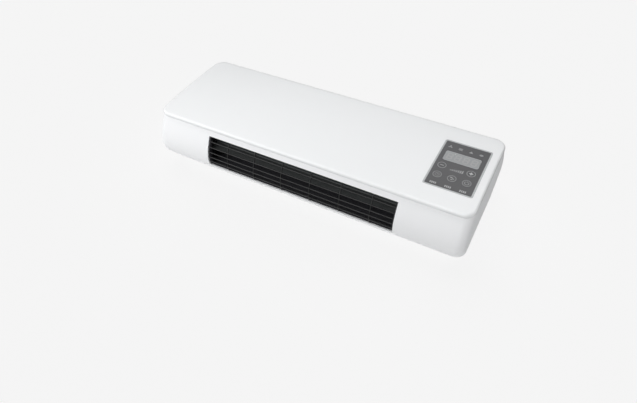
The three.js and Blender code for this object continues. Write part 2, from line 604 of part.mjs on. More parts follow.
function mainsEntry() {
  const wallX = -BODY_ENDS.widest;
  const { halfY, halfZ, recess, body, tilt } = SWITCH;
  const faceX = wallX + recess;
  const rocker = new THREE.Group();
  rocker.position.set(faceX, SWITCH.y, SWITCH.z);
  const flange = block([-1.6, -GAP], [-halfY, halfY], [-halfZ, halfZ]);
  const tub = block([-1, body], [-halfY + 1 + GAP, halfY - 1 - GAP], [-halfZ + 1 + GAP, halfZ - 1 - GAP]);
  const well = block([-5, 8], [-halfY + 2.6, halfY - 2.6], [-halfZ + 2.6, halfZ - 2.6]);
  const paddle = block([-1.4, 2.4], [-halfY + 3.6, halfY - 3.6], [-halfZ + 3, halfZ - 3]);
  const button = piece('rocker_button', paddle, BLACK);
  button.position.x = 0.6;
  button.rotation.z = THREE.MathUtils.degToRad(-tilt);
  rocker.add(piece('rocker_housing', flange.add(tub).subtract(well), BLACK), button);

  const gland = barX(GLAND.flange, [faceX - 2.6, faceX - GAP], [GLAND.y, GLAND.z])
    .add(barX(GLAND.radius, [faceX - 2.6, faceX + 12], [GLAND.y, GLAND.z]))
    .subtract(barX(GLAND.bore, [faceX - 5, faceX + 14], [GLAND.y, GLAND.z], 16));
  const group = new THREE.Group();
  group.add(rocker, piece('cord_gland', gland, RUBBER));
  return group;
}

// ---- Feet and screws -------------------------------------------------------------------------

function feet() {
  const group = new THREE.Group();
  const low = BODY.bottomZ;
  const foot = barZ(FOOT.radius - 1, [0, 1], [0, 0])
    .add(barZ(FOOT.radius, [1, low + FOOT.sink - GAP], [0, 0]))
    .add(barZ(FOOT.stem, [1, low + WALL + 1.5], [0, 0], 12));
  [[-1, -1], [1, -1], [1, 1], [-1, 1]].forEach(([x, y], i) => {
    const mesh = piece(`foot_${i + 1}`, foot, RUBBER);
    mesh.position.set(x * FOOT.x, y * FOOT.y, 0);
    group.add(mesh);
  });
  return group;
}

function caseScrews() {
  const group = new THREE.Group();
  const { head, headHigh, shank, length, seatZ } = SCREW;
  const screw = barZ(head, [-headHigh, 0], [0, 0], 16).add(barZ(shank, [-1, length], [0, 0], 12))
    .subtract(block([-2.2, 2.2], [-0.5, 0.5], [-headHigh - 1, -headHigh + 1]))
    .subtract(block([-0.5, 0.5], [-2.2, 2.2], [-headHigh - 1, -headHigh + 1]));
  SCREW_SPOTS.forEach(([x, y], i) => {
    const mesh = piece(`case_screw_${i + 1}`, screw, STEEL);
    mesh.position.set(x, y, seatZ - GAP);
    group.add(mesh);
  });
  return group;
}

// ---- Assembly --------------------------------------------------------------------------------

function piece(name, shape, material) {
  const mesh = new THREE.Mesh(geometryOf(shape), material);
  mesh.name = name;
  return mesh;
}

const heaterUnit = new THREE.Group();
heaterUnit.add(
  piece('front_panel', frontPanel(), WHITE),
  piece('front_shell', frontShell(), SHELL_WHITE),
  piece('rear_shell', rearShell(), SHELL_WHITE),
  piece('outlet_grille', outletGrille(), CHARCOAL),
  controls(),
  intake(),
  blower(),
  heater(),
  louver(),
  electronics(),
  mainsEntry(),
  feet(),
  caseScrews(),
);

export default heaterUnit;
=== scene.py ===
"""Looks of a flat ceramic fan heater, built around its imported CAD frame. Sizes are in metres."""

import json
import logging
import math
from collections.abc import Callable, Iterable, Sequence
from dataclasses import dataclass, field
from enum import Enum

import bmesh
import bpy
from mathutils import Matrix, Vector


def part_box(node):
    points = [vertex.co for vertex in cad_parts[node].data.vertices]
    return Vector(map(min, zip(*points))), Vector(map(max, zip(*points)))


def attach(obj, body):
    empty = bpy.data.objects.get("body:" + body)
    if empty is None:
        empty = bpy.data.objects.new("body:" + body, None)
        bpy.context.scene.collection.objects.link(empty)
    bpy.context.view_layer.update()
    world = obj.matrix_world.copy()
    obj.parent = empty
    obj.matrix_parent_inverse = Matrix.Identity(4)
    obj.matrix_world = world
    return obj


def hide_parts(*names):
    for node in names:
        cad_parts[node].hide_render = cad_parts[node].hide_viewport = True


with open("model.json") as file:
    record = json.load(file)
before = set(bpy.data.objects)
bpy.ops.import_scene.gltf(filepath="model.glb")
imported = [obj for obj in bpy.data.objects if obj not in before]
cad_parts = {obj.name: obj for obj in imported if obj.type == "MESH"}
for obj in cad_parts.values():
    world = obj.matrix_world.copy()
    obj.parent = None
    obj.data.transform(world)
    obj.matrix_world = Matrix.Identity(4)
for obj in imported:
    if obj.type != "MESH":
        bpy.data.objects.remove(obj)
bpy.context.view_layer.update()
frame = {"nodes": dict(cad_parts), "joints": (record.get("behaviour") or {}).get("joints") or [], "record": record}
log = logging.getLogger("heater")

MM = 0.001
Colour = tuple[float, float, float]
Flat = tuple[float, float]


# ---- Shader maths ----------------------------------------------------------------------------


class Value:
    """A shader socket that takes part in arithmetic; each operator adds one Math node."""

    def __init__(self, graph: "Graph", socket: bpy.types.NodeSocket) -> None:
        """Keeps the socket and the graph that it belongs to."""
        self.graph = graph
        self.socket = socket

    def math(self, operation: str, *others: "Value | float", flipped: bool = False) -> "Value":
        """Adds a Math node.

        Args:
            operation: the Math node's operation.
            others: its other inputs.
            flipped: whether this value comes second.

        Returns:
            The node's result.
        """
        terms = [*others, self] if flipped else [self, *others]
        inputs = dict(enumerate(terms))
        return self.graph.node("ShaderNodeMath", {"operation": operation}, inputs)

    def __add__(self, other: "Value | float") -> "Value":
        """Adds."""
        return self.math("ADD", other)

    __radd__ = __add__

    def __mul__(self, other: "Value | float") -> "Value":
        """Multiplies."""
        return self.math("MULTIPLY", other)

    __rmul__ = __mul__

    def __sub__(self, other: "Value | float") -> "Value":
        """Subtracts."""
        return self.math("SUBTRACT", other)

    def __rsub__(self, other: float) -> "Value":
        """Subtracts this from a number."""
        return self.math("SUBTRACT", other, flipped=True)

    def __truediv__(self, other: "Value | float") -> "Value":
        """Divides."""
        return self.math("DIVIDE", other)

    def __pow__(self, other: float) -> "Value":
        """Raises to a power."""
        return self.math("POWER", other)


class Graph:
    """One material's node tree, with its surface shader ready."""

    def __init__(self, name: str) -> None:
        """Starts a material with a Principled shader."""
        self.material = bpy.data.materials.new(name)
        self.material.use_nodes = True
        self.tree = self.material.node_tree
        self.tree.nodes.clear()
        self.shader = self.tree.nodes.new("ShaderNodeBsdfPrincipled")
        output = self.tree.nodes.new("ShaderNodeOutputMaterial")
        self.tree.links.new(self.shader.outputs[0], output.inputs["Surface"])

    def plug(self, socket: bpy.types.NodeSocket, value: object) -> None:
        """Links a value to a socket, or sets the socket's own number or colour."""
        if isinstance(value, Value):
            self.tree.links.new(value.socket, socket)
        elif isinstance(value, tuple) and socket.type == "RGBA":
            socket.default_value = (*value, 1.0)
        else:
            socket.default_value = value

    def node(
        self, kind: str, settings: dict[str, object] | None = None,
        inputs: dict[str | int, object] | None = None, output: str | int = 0,
    ) -> Value:
        """Adds a node of any type.

        Args:
            kind: the node's type.
            settings: attributes that are set first; "stops" fills a colour ramp.
            inputs: what each input socket takes.
            output: which output is wanted.

        Returns:
            The wanted output.
        """
        made = self.tree.nodes.new(kind)
        for key, setting in (settings or {}).items():
            if key == "stops":
                self._fill_ramp(made.color_ramp, setting)
            else:
                setattr(made, key, setting)
        for key, value in (inputs or {}).items():
            self.plug(made.inputs[key], value)
        return Value(self, made.outputs[output])

    @staticmethod
    def _fill_ramp(ramp: bpy.types.ColorRamp, stops: Sequence[tuple[float, float]]) -> None:
        """Sets a grey ramp's stops, each a place and a brightness."""
        for index, (place, grey) in enumerate(stops):
            stop = ramp.elements[index] if index < 2 else ramp.elements.new(place)
            stop.position = place
            stop.color = (grey, grey, grey, 1.0)

    def place(self) -> Value:
        """Gives the point on the object, in metres."""
        return self.node("ShaderNodeTexCoord", output="Object")

    def noise(self, scale: float, detail: float = 3.0, stretch: Colour = (1.0, 1.0, 1.0)) -> Value:
        """Gives cloudy noise from 0 to 1.

        Args:
            scale: how many clouds there are to a metre.
            detail: how many finer layers it has.
            stretch: how much the clouds are squeezed along each axis.

        Returns:
            The noise.
        """
        point = self.node("ShaderNodeVectorMath", {"operation": "MULTIPLY"}, {0: self.place(), 1: stretch})
        return self.node("ShaderNodeTexNoise", {}, {"Vector": point, "Scale": scale, "Detail": detail})

    def mix(self, share: Value, low: Colour, high: Colour) -> Value:
        """Mixes two colours.

        Args:
            share: how much of the second colour there is.
            low: the first colour.
            high: the second colour.

        Returns:
            The mixed colour.
        """
        made = self.tree.nodes.new("ShaderNodeMix")
        made.data_type = "RGBA"
        self.plug(made.inputs[0], share)
        self.plug(made.inputs[6], low)
        self.plug(made.inputs[7], high)
        return Value(self, made.outputs[2])

    def bump(self, height: Value, depth: float, strength: float = 1.0) -> Value:
        """Turns a height from 0 to 1 into a surface normal.

        Args:
            height: the relief.
            depth: how deep it is, in metres.
            strength: how much of it shows.

        Returns:
            The normal.
        """
        inputs = {"Strength": strength, "Distance": depth, "Height": height}
        return self.node("ShaderNodeBump", {}, inputs)

    def dress(self, **sockets: object) -> bpy.types.Material:
        """Fills the surface shader's sockets, named with _ for a space, and gives the material."""
        for name, value in sockets.items():
            self.plug(self.shader.inputs[name.replace("_", " ")], value)
        return self.material


def shade(colour: Colour, factor: float) -> Colour:
    """Makes a colour lighter or darker by a factor."""
    return tuple(min(1.0, part * factor) for part in colour)


# ---- Finishes --------------------------------------------------------------------------------


@dataclass(frozen=True)
class Finish:
    """A surface finish: its name, the record's slot it belongs to, and its colour."""

    name: str
    slot: str
    colour: Colour

    def material(self) -> bpy.types.Material:
        """Gives the material of this name, which the frame may hold already, or makes it."""
        return bpy.data.materials.get(self.name) or self.make(Graph(self.name))

    def make(self, graph: Graph) -> bpy.types.Material:
        """Fills the graph and gives its material."""
        raise NotImplementedError


@dataclass(frozen=True)
class MouldedPlastic(Finish):
    """Injection-moulded plastic with the fine grain of its mould."""

    roughness: float = 0.45
    grain: float = 1400.0
    depth: float = 0.00004
    cloud: float = 0.02
    coat: float = 0.0

    def make(self, graph: Graph) -> bpy.types.Material:
        """Adds the mould's grain and the slight clouding of a large moulding."""
        cloud = graph.noise(9.0, 2.0)
        grain = graph.noise(self.grain, 2.0)
        lighter = shade(self.colour, 1.0 + self.cloud)
        darker = shade(self.colour, 1.0 - self.cloud)
        return graph.dress(
            Base_Color=graph.mix(cloud * 0.7 + grain * 0.3, darker, lighter),
            Roughness=self.roughness - 0.05 + graph.noise(60.0) * 0.06 + grain * 0.04,
            Normal=graph.bump(grain, self.depth, 0.35),
            Coat_Weight=self.coat,
            Coat_Roughness=0.15,
        )


@dataclass(frozen=True)
class SoftRubber(Finish):
    """Matt black rubber with a dusty bloom."""

    def make(self, graph: Graph) -> bpy.types.Material:
        """Adds the bloom and a coarse grain."""
        bloom = graph.noise(90.0, 5.0)
        return graph.dress(
            Base_Color=graph.mix(bloom, self.colour, shade(self.colour, 1.9)),
            Roughness=0.75 + bloom * 0.15,
            Normal=graph.bump(graph.noise(900.0), 0.00006, 0.5),
        )


class Working(Enum):
    """How a metal surface was worked: the squeeze of its marks along X, Y and Z."""

    TURNED = (1.0, 30.0, 30.0)
    DRAWN = (0.03, 1.0, 1.0)
    PLATED = (1.0, 1.0, 1.0)


@dataclass(frozen=True)
class WorkedMetal(Finish):
    """Bare or plated metal with the marks of its working."""

    working: Working = Working.PLATED
    roughness: float = 0.32
    marks: float = 700.0

    def make(self, graph: Graph) -> bpy.types.Material:
        """Adds the tool marks and a slight tarnish."""
        marks = graph.noise(self.marks, 3.0, self.working.value)
        tarnish = graph.noise(45.0, 5.0)
        return graph.dress(
            Base_Color=graph.mix(tarnish, shade(self.colour, 0.8), self.colour),
            Metallic=1.0,
            Roughness=self.roughness + tarnish * 0.14 + marks * 0.08,
            Normal=graph.bump(marks, 0.00003, 0.4),
        )


@dataclass(frozen=True)
class CircuitBoard(Finish):
    """Glass-fibre board under a green mask, with copper tracks showing through."""

    track: Colour = (0.05, 0.22, 0.11)

    def make(self, graph: Graph) -> bpy.types.Material:
        """Adds square tracks and the weave under the mask."""
        tracks = graph.node(
            "ShaderNodeTexBrick", {"offset": 0.35}, {
                "Vector": graph.place(), "Scale": 140.0, "Mortar Size": 0.03},
            "Fac")
        weave = graph.noise(1800.0, 1.0)
        return graph.dress(
            Base_Color=graph.mix(tracks, self.colour, self.track),
            Roughness=0.3 + weave * 0.12,
            Normal=graph.bump(tracks, 0.00005, 0.5),
        )


@dataclass(frozen=True)
class SmokedLens(Finish):
    """The smooth grey window over the digits, with a faint unlit matrix inside it."""

    def make(self, graph: Graph) -> bpy.types.Material:
        """Adds the matrix and a clear coat."""
        matrix = graph.node("ShaderNodeTexChecker", {}, {"Vector": graph.place(), "Scale": 900.0}, "Fac")
        haze = graph.noise(70.0)
        return graph.dress(
            Base_Color=graph.mix(
                matrix * 0.3 + haze * 0.7, shade(self.colour, 0.9), shade(self.colour, 1.1)),
            Roughness=0.22 + haze * 0.08,
            Coat_Weight=0.4,
            Coat_Roughness=0.06,
        )


@dataclass(frozen=True)
class PrintedInk(Finish):
    """Screen-printed ink, a little uneven in its cover."""

    glow: float = 0.0

    def make(self, graph: Graph) -> bpy.types.Material:
        """Adds the screen's uneven cover, and a glow where the ink is lit from behind."""
        cover = graph.noise(1100.0, 2.0)
        ink = graph.mix(cover, shade(self.colour, 0.88), self.colour)
        return graph.dress(
            Base_Color=ink, Emission_Color=ink, Emission_Strength=self.glow, Roughness=0.42 + cover * 0.1)


@dataclass(frozen=True)
class NylonNet(Finish):
    """The dust filter's nylon thread, slightly glossy and clouded with use."""

    def make(self, graph: Graph) -> bpy.types.Material:
        """Adds the clouding."""
        dust = graph.noise(35.0, 6.0)
        return graph.dress(
            Base_Color=graph.mix(dust, self.colour, shade(self.colour, 1.35)),
            Roughness=0.45 + dust * 0.2,
        )


@dataclass(frozen=True)
class StudioPaper(Finish):
    """Plain pale paper, lit through from behind so that it shows little shadow.

    Its light on the object comes from a fill light of its own, which is more even.
    """

    glow: float

    def make(self, graph: Graph) -> bpy.types.Material:
        """Keeps it plain, with the faintest unevenness."""
        faint = graph.noise(3.0)
        return graph.dress(
            Base_Color=graph.mix(
                faint, shade(self.colour, 0.995), self.colour), Roughness=0.9, Specular_IOR_Level=0.1,
            Emission_Color=(1.0, 1.0, 1.0), Emission_Strength=self.glow)


PANEL_WHITE = MouldedPlastic(
    "panel_white", "panel_white", (0.838, 0.84, 0.842), 0.38, 900.0, 0.00002, 0.01, 0.12)
SHELL_WHITE = MouldedPlastic(
    "shell_white", "shell_white", (0.838, 0.84, 0.842), 0.5, 1300.0, 0.00005, 0.012)
CHARCOAL = MouldedPlastic(
    "grille_charcoal", "grille_charcoal", (0.01, 0.01, 0.0105), 0.62, 1200.0, 0.00004, 0.1)
GRILLE_WIRE = MouldedPlastic(
    "grille_wire", "grille_charcoal", (0.018, 0.018, 0.0185), 0.5, 1200.0, 0.00004, 0.1)
OVERLAY_GREY = MouldedPlastic(
    "overlay_grey", "overlay_grey", (0.031, 0.031, 0.0315), 0.42, 2200.0, 0.00001, 0.04)
BEZEL_GREY = MouldedPlastic("bezel_grey", "bezel_grey", (0.58, 0.58, 0.583), 0.4, 1800.0, 0.00002, 0.03)
BLACK_PLASTIC = MouldedPlastic(
    "black_plastic", "black_plastic", (0.012, 0.012, 0.013), 0.6, 1000.0, 0.00006, 0.15)
IMPELLER_GREY = MouldedPlastic(
    "impeller_grey", "impeller_grey", (0.05, 0.052, 0.056), 0.5, 1000.0, 0.00005, 0.12)
RELAY_BLUE = MouldedPlastic("relay_blue", "relay_blue", (0.03, 0.1, 0.3), 0.4, 1500.0, 0.00003, 0.05)
RUBBER = SoftRubber("rubber", "rubber", (0.02, 0.02, 0.021))
STEEL = WorkedMetal("steel", "steel", (0.56, 0.57, 0.58))
BRASS = WorkedMetal("bearing_brass", "bearing_brass", (0.5, 0.36, 0.15), Working.TURNED)
ALUMINIUM = WorkedMetal("aluminium", "aluminium", (0.6, 0.61, 0.62), Working.DRAWN, 0.35)
ELEMENT_METAL = WorkedMetal("element_metal", "element_metal", (0.5, 0.5, 0.49), Working.DRAWN, 0.4)
BOARD = CircuitBoard("circuit_board", "circuit_board", (0.015, 0.1, 0.045))
LENS = SmokedLens("display_lens", "display_lens", (0.3, 0.305, 0.31))
NET = NylonNet("filter_fabric", "filter_fabric", (0.18, 0.19, 0.2))
SYMBOL_INK = PrintedInk("symbol_ink", "bezel_grey", (0.3, 0.305, 0.31))
BRIGHT_INK = PrintedInk("bright_ink", "bezel_grey", (0.48, 0.485, 0.49))
SEGMENT_INK = PrintedInk("segment_ink", "display_lens", (0.37, 0.37, 0.372))
# Painted highlight: a lighter line along the inside of the display window's edge, lighter than the lens.
LENS_EDGE_HIGHLIGHT = PrintedInk("lens_edge_painted_highlight", "display_lens", (0.4, 0.4, 0.402))
SWITCH_MARK = PrintedInk("switch_mark_ink", "bezel_grey", (0.6, 0.6, 0.6))
FLOOR = StudioPaper("studio_floor", "shell_white", (0.15, 0.15, 0.15), 0.846)
BACKDROP = StudioPaper("studio_backdrop", "shell_white", (0.0, 0.0, 0.0), 0.9)


# ---- Mesh making -----------------------------------------------------------------------------


@dataclass(frozen=True)
class Outline:
    """A rectangle with round corners, as a grid of points that always has the same count.

    The grid's columns are upright lines: they follow each corner's arc and stand at the cuts between.
    """

    half_x: float
    half_y: float
    corner: float
    x: float = 0.0
    y: float = 0.0
    cuts: tuple[float, ...] = ()
    arc: int = 10
    across: int = 16

    def inset(self, depth: float) -> "Outline":
        """Gives the same outline moved in by a depth."""
        return Outline(
            self.half_x - depth, self.half_y - depth, max(self.corner - depth, 0.0002),
            self.x, self.y, self.cuts, self.arc, self.across)

    def columns(self) -> list[Flat]:
        """Gives each column's place and half height."""
        left = []
        for step in range(self.arc + 1):
            angle = math.pi / 2 * step / self.arc
            left.append((
                self.corner * (1 - math.cos(angle)) - self.half_x,
                self.half_y - self.corner * (1 - math.sin(angle))))
        right = [(-x, half) for x, half in reversed(left)]
        return [*left, *((x, self.half_y) for x in self.cuts), *right]

    def grid(self) -> list[list[Flat]]:
        """Gives every column's points, from its lower end to its upper one."""
        steps = range(self.across + 1)
        return [
            [(self.x + x, self.y + half * (2 * step / self.across - 1)) for step in steps]
            for x, half in self.columns()]

    def loop(self) -> list[Flat]:
        """Gives the points round the edge, anticlockwise from the left side's lower end."""
        rows = self.grid()
        upper = [column[-1] for column in reversed(rows)]
        return [*(column[0] for column in rows), *rows[-1][1:-1], *upper, *rows[0][-2:0:-1]]


class Shape:
    """A mesh in the making."""

    def __init__(self) -> None:
        """Starts empty."""
        self.mesh = bmesh.new()

    def points(self, places: Iterable[Sequence[float]]) -> list[bmesh.types.BMVert]:
        """Adds points."""
        return [self.mesh.verts.new(place) for place in places]

    def face(self, *corners: bmesh.types.BMVert) -> None:
        """Adds a face, unless two of its corners are one point."""
        if len(set(corners)) == len(corners):
            self.mesh.faces.new(corners)

    def band(
        self, low: Sequence[bmesh.types.BMVert], high: Sequence[bmesh.types.BMVert], closed: bool = True
    ) -> None:
        """Joins two rows of points with four-sided faces."""
        count = len(low)
        for i in range(count if closed else count - 1):
            self.face(low[i], low[(i + 1) % count], high[(i + 1) % count], high[i])

    def bar(
        self, path: Sequence[Vector], sides: Sequence[Flat], closed: bool = False, up: Vector | None = None
    ) -> None:
        """Sweeps a section along a path.

        Args:
            path: the centreline's points.
            sides: the section's points, across and up.
            closed: whether the path meets its own start.
            up: which way the section's top faces; it is found from the path if left out.
        """
        rows = []
        count = len(path)
        for i, point in enumerate(path):
            before = path[(i - 1) % count] if closed or i else point
            after = path[(i + 1) % count] if closed or i + 1 < count else point
            ahead = (after - before).normalized()
            guide = up or (Vector((0, 0, 1)) if abs(ahead.z) < 0.9 else Vector((1, 0, 0)))
            across = ahead.cross(guide).normalized()
            top = across.cross(ahead)
            widen = 1.0
            if closed or 0 < i < count - 1:
                turn = (after - point).normalized().dot((point - before).normalized())
                widen = 1.0 / max(math.sqrt(max((1 + turn) / 2, 0.0)), 0.5)
            rows.append(self.points(point + across * side * widen + top * height for side, height in sides))
        for low, high in zip(rows, rows[1:]):
            self.band(low, high)
        if closed:
            self.band(rows[-1], rows[0])
        else:
            self.mesh.faces.new(rows[0])
            self.mesh.faces.new(reversed(rows[-1]))

    def turned(self, profile: Sequence[Flat], centre: Vector, axis: Vector, steps: int = 32) -> None:
        """Turns a profile round an axis.

        Args:
            profile: radius and height points; the first and last are on the axis or join up.
            centre: where height 0 is.
            axis: which way the height grows.
            steps: how many sides the turned form has.
        """
        rotation = Vector((0, 0, 1)).rotation_difference(axis).to_matrix()
        rings = []
        for radius, height in profile:
            if radius < 1e-7:
                rings.append(self.points([centre + rotation @ Vector((0, 0, height))]) * steps)
                continue
            angles = (2 * math.pi * step / steps for step in range(steps))
            rings.append(self.points(
                centre + rotation @ Vector(
                    (radius * math.cos(a), radius * math.sin(a), height)) for a in angles))
        pairs = list(zip(rings, rings[1:]))
        if profile[0][0] > 1e-7:
            pairs.append((rings[-1], rings[0]))
        for low, high in pairs:
            for i in range(steps):
                self.wedge(low[i], low[(i + 1) % steps], high[(i + 1) % steps], high[i])

    def wedge(self, *corners: bmesh.types.BMVert) -> None:
        """Adds a face whose repeated corners are left out."""
        kept = [corner for i, corner in enumerate(corners) if corner is not corners[i - 1]]
        if len(kept) > 2:
            self.mesh.faces.new(kept)

    def block(self, low: Sequence[float], high: Sequence[float]) -> None:
        """Adds a box between two corners."""
        base = self.points([(low[0], low[1], low[2]), (high[0], low[1], low[2]),
                            (high[0], high[1], low[2]), (low[0], high[1], low[2])])
        top = self.points([(low[0], low[1], high[2]), (high[0], low[1], high[2]),
                           (high[0], high[1], high[2]), (low[0], high[1], high[2])])
        self.band(base, top)
        self.mesh.faces.new(reversed(base))
        self.mesh.faces.new(top)

    def slab(self, outline: Outline, low: Callable[[Flat], float], high: Callable[[Flat], float]) -> None:
        """Adds a plate with round corners whose two faces follow given heights."""
        faces = []
        for height in (low, high):
            rows = [self.points((*flat, height(flat)) for flat in column) for column in outline.grid()]
            for left, right in zip(rows, rows[1:]):
                self.band(left, right, closed=False)
            faces.append(rows)
        edges = [
            [
                *(row[0] for row in rows), *rows[-1][1:-1], *(row[-1] for row in reversed(rows)),
                *rows[0][-2:0:-1]]
            for rows in faces]
        self.band(edges[0], edges[1])

    def as_object(self, name: str) -> bpy.types.Object:
        """Ends the making and gives an object, with its faces turned outwards."""
        bmesh.ops.recalc_face_normals(self.mesh, faces=self.mesh.faces)
        data = bpy.data.meshes.new(name)
        self.mesh.to_mesh(data)
        self.mesh.free()
        made = bpy.data.objects.new(name, data)
        bpy.context.scene.collection.objects.link(made)
        return made


class Join(Enum):
    """How one solid acts on another."""

    CUT = "DIFFERENCE"
    ADD = "UNION"


def combine(target: bpy.types.Object, tool: Shape, how: Join) -> None:
    """Cuts or adds a shape, and keeps the result in the target's mesh.

    Args:
        target: the object that changes.
        tool: the shape that cuts it or is added to it.
        how: which of the two.
    """
    helper = tool.as_object(target.name + "_tool")
    modifier = target.modifiers.new("join", "BOOLEAN")
    modifier.operation = how.value
    modifier.solver = "EXACT"
    modifier.object = helper
    graph = bpy.context.evaluated_depsgraph_get()
    data = bpy.data.meshes.new_from_object(target.evaluated_get(graph))
    target.modifiers.clear()
    target.data = data
    bpy.data.objects.remove(helper)


def place(
    made: bpy.types.Object, finish: Finish, body: str, *nodes: str,
    bevel: float = 0.0, sharp: float = 35.0,
) -> bpy.types.Object:
    """Dresses a finished mesh and puts it on its CAD body.

    Args:
        made: the object.
        finish: its finish.
        body: the CAD body it rides on.
        nodes: the CAD nodes it stands for.
        bevel: how wide its edges are rounded.
        sharp: the angle in degrees above which an edge stays crisp or is rounded.

    Returns:
        The object.
    """
    made.data.materials.clear()
    made.data.materials.append(finish.material())
    made.data.shade_smooth()
    made.data.set_sharp_from_angle(angle=math.radians(sharp))
    if bevel:
        modifier = made.modifiers.new("soft edges", "BEVEL")
        modifier.width = bevel
        modifier.segments = 2
        modifier.limit_method = "ANGLE"
        modifier.angle_limit = math.radians(sharp)
        modifier.harden_normals = True
    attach(made, body)
    if nodes:
        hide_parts(*nodes)
    log.info("%s: %s on %s", made.name, finish.name, body)
    return made


def ring_points(
    centre: Flat, radius: float, steps: int = 48, start: float = 0.0, sweep: float = 2 * math.pi
) -> list[Flat]:
    """Gives points along an arc, without the last one where the arc is a whole circle."""
    whole = abs(sweep - 2 * math.pi) < 1e-6
    count = steps if whole else steps + 1
    return [
        (
            centre[0] + radius * math.cos(start + sweep * i / steps),
            centre[1] + radius * math.sin(start + sweep * i / steps))
        for i in range(count)]


# ---- Case ------------------------------------------------------------------------------------


@dataclass(frozen=True)
class Opening:
    """A rectangular opening through one long side of the case."""

    side: int
    half_x: float
    low: float
    high: float

    def holds(self, x: float, y: float, z: float) -> bool:
        """Says whether a point on the case lies in the opening."""
        return y * self.side > 0 and abs(x) < self.half_x and self.low < z < self.high


@dataclass(frozen=True)
class WallCurve:
    """The curve of one pair of walls, from the groove under the cover to the rear face.

    Up to the groove they go in by a depth. Below their widest level they turn through an arc, and then
    run on straight at a draft angle.
    """

    groove: float
    turn: float
    draft: float

    def inset(self, height: float, reach: float) -> float:
        """Gives how far the wall stands in from its widest place.

        Args:
            height: the height over the widest level.
            reach: the groove's height over the widest level.

        Returns:
            The distance.
        """
        if height >= 0:
            return self.groove * (1 - math.cos(math.pi / 2 * min(height / reach, 1.0)))
        angle = min(math.asin(min(-height / self.turn, 1.0)), self.draft)
        straight = -height - self.turn * math.sin(angle)
        return self.turn * (1 - math.cos(angle)) + math.tan(angle) * straight


@dataclass
class CaseForm:
    """The body's outer form."""

    ends: WallCurve = WallCurve(0.0014, 0.09, 0.03)
    sides: WallCurve = WallCurve(0.0211, 0.0284, 0.64)
    widest: float = 0.050
    corner: float = 0.0145
    low_corner: float = 0.0185
    wall: float = 0.0026
    clearance: float = 0.0003

    def __post_init__(self) -> None:
        """Takes the outer sizes from the frame."""
        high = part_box("front_shell")[1]
        self.groove = high.z
        self.half_x = high.x
        self.half_y = high.y
        low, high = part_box("rear_shell")
        self.seam = high.z + 2 * self.clearance
        self.rear = low.z
        grille_low, grille_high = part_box("outlet_grille")
        self.outlet = Opening(
            -1, grille_high.x + self.clearance, grille_low.z - self.clearance, grille_high.z + self.clearance)
        filter_low, filter_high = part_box("filter_frame")
        self.intake = Opening(
            1, filter_high.x + self.clearance, filter_low.z - self.clearance, filter_high.z + self.clearance)
        marks = {-0.24, 0.24}
        for opening in (self.outlet, self.intake):
            marks |= {-opening.half_x, opening.half_x}
        marks |= {0.02 * step for step in range(-8, 9)} | {-0.2, 0.2, -0.22, 0.22}
        self.cuts = tuple(sorted(marks))

    def outline(self, z: float, inset: float = 0.0) -> Outline:
        """Gives the body's outline at a height, moved in by a depth."""
        end = self.half_x - self.ends.inset(z - self.widest, self.groove - self.widest)
        lowness = max(0.0, (self.widest - z) / (self.widest - self.rear))
        corner = self.corner + (self.low_corner - self.corner) * lowness
        return Outline(end, self.side(z), corner, cuts=self.cuts).inset(inset)

    def side(self, z: float, inset: float = 0.0) -> float:
        """Gives how far the long sides stand from the middle at a height."""
        return self.half_y - self.sides.inset(z - self.widest, self.groove - self.widest) - inset

    def shell(
        self, levels: Sequence[tuple[float, float]], cap: tuple[float, float], openings: Sequence[Opening] = (),
    ) -> Shape:
        """Makes one hollow half of the case.

        Args:
            levels: heights from the open rim to the closed end, each with how far it is moved in.
            cap: the heights of the closed end's outer and inner face.
            openings: where the wall is left open.

        Returns:
            The shape.
        """
        shape = Shape()
        skins = []
        within = max if cap[1] > cap[0] else min
        for depth, end in zip((0.0, self.wall), cap):
            rows = []
            for z, inset in levels:
                loop = self.outline(z, inset + depth).loop()
                rows.append(shape.points((x, y, within(z, end)) for x, y in loop))
            skins.append(rows)
        count = len(skins[0][0])
        gone = set()
        for i in range(len(levels) - 1):
            for j in range(count):
                corners = [skins[0][i][j], skins[0][i + 1][(j + 1) % count]]
                middle = (corners[0].co + corners[1].co) / 2
                if any(opening.holds(*middle) for opening in openings):
                    gone.add((i, j))
        for i in range(len(levels) - 1):
            for j in range(count):
                if (i, j) in gone:
                    self._jambs(shape, skins, gone, i, j, count)
                    continue
                for rows in skins:
                    shape.face(
                        rows[i][j], rows[i][(j + 1) % count], rows[i + 1][(j + 1) % count], rows[i + 1][j])
        shape.band(skins[0][0], skins[1][0])
        for rows in skins:
            shape.mesh.faces.new(rows[-1])
        return shape

    @staticmethod
    def _jambs(shape: Shape, skins: list, gone: set, i: int, j: int, count: int) -> None:
        """Closes the wall's thickness round an opening, for one missing cell."""
        after = (j + 1) % count
        borders = {
            (i - 1, j): ((i, j), (i, after)),
            (i + 1, j): ((i + 1, j), (i + 1, after)),
            (i, (j - 1) % count): ((i, j), (i + 1, j)),
            (i, after): ((i, after), (i + 1, after)),
        }
        for neighbour, (a, b) in borders.items():
            if neighbour not in gone:
                outer, inner = skins
                shape.face(outer[a[0]][a[1]], outer[b[0]][b[1]], inner[b[0]][b[1]], inner[a[0]][a[1]])


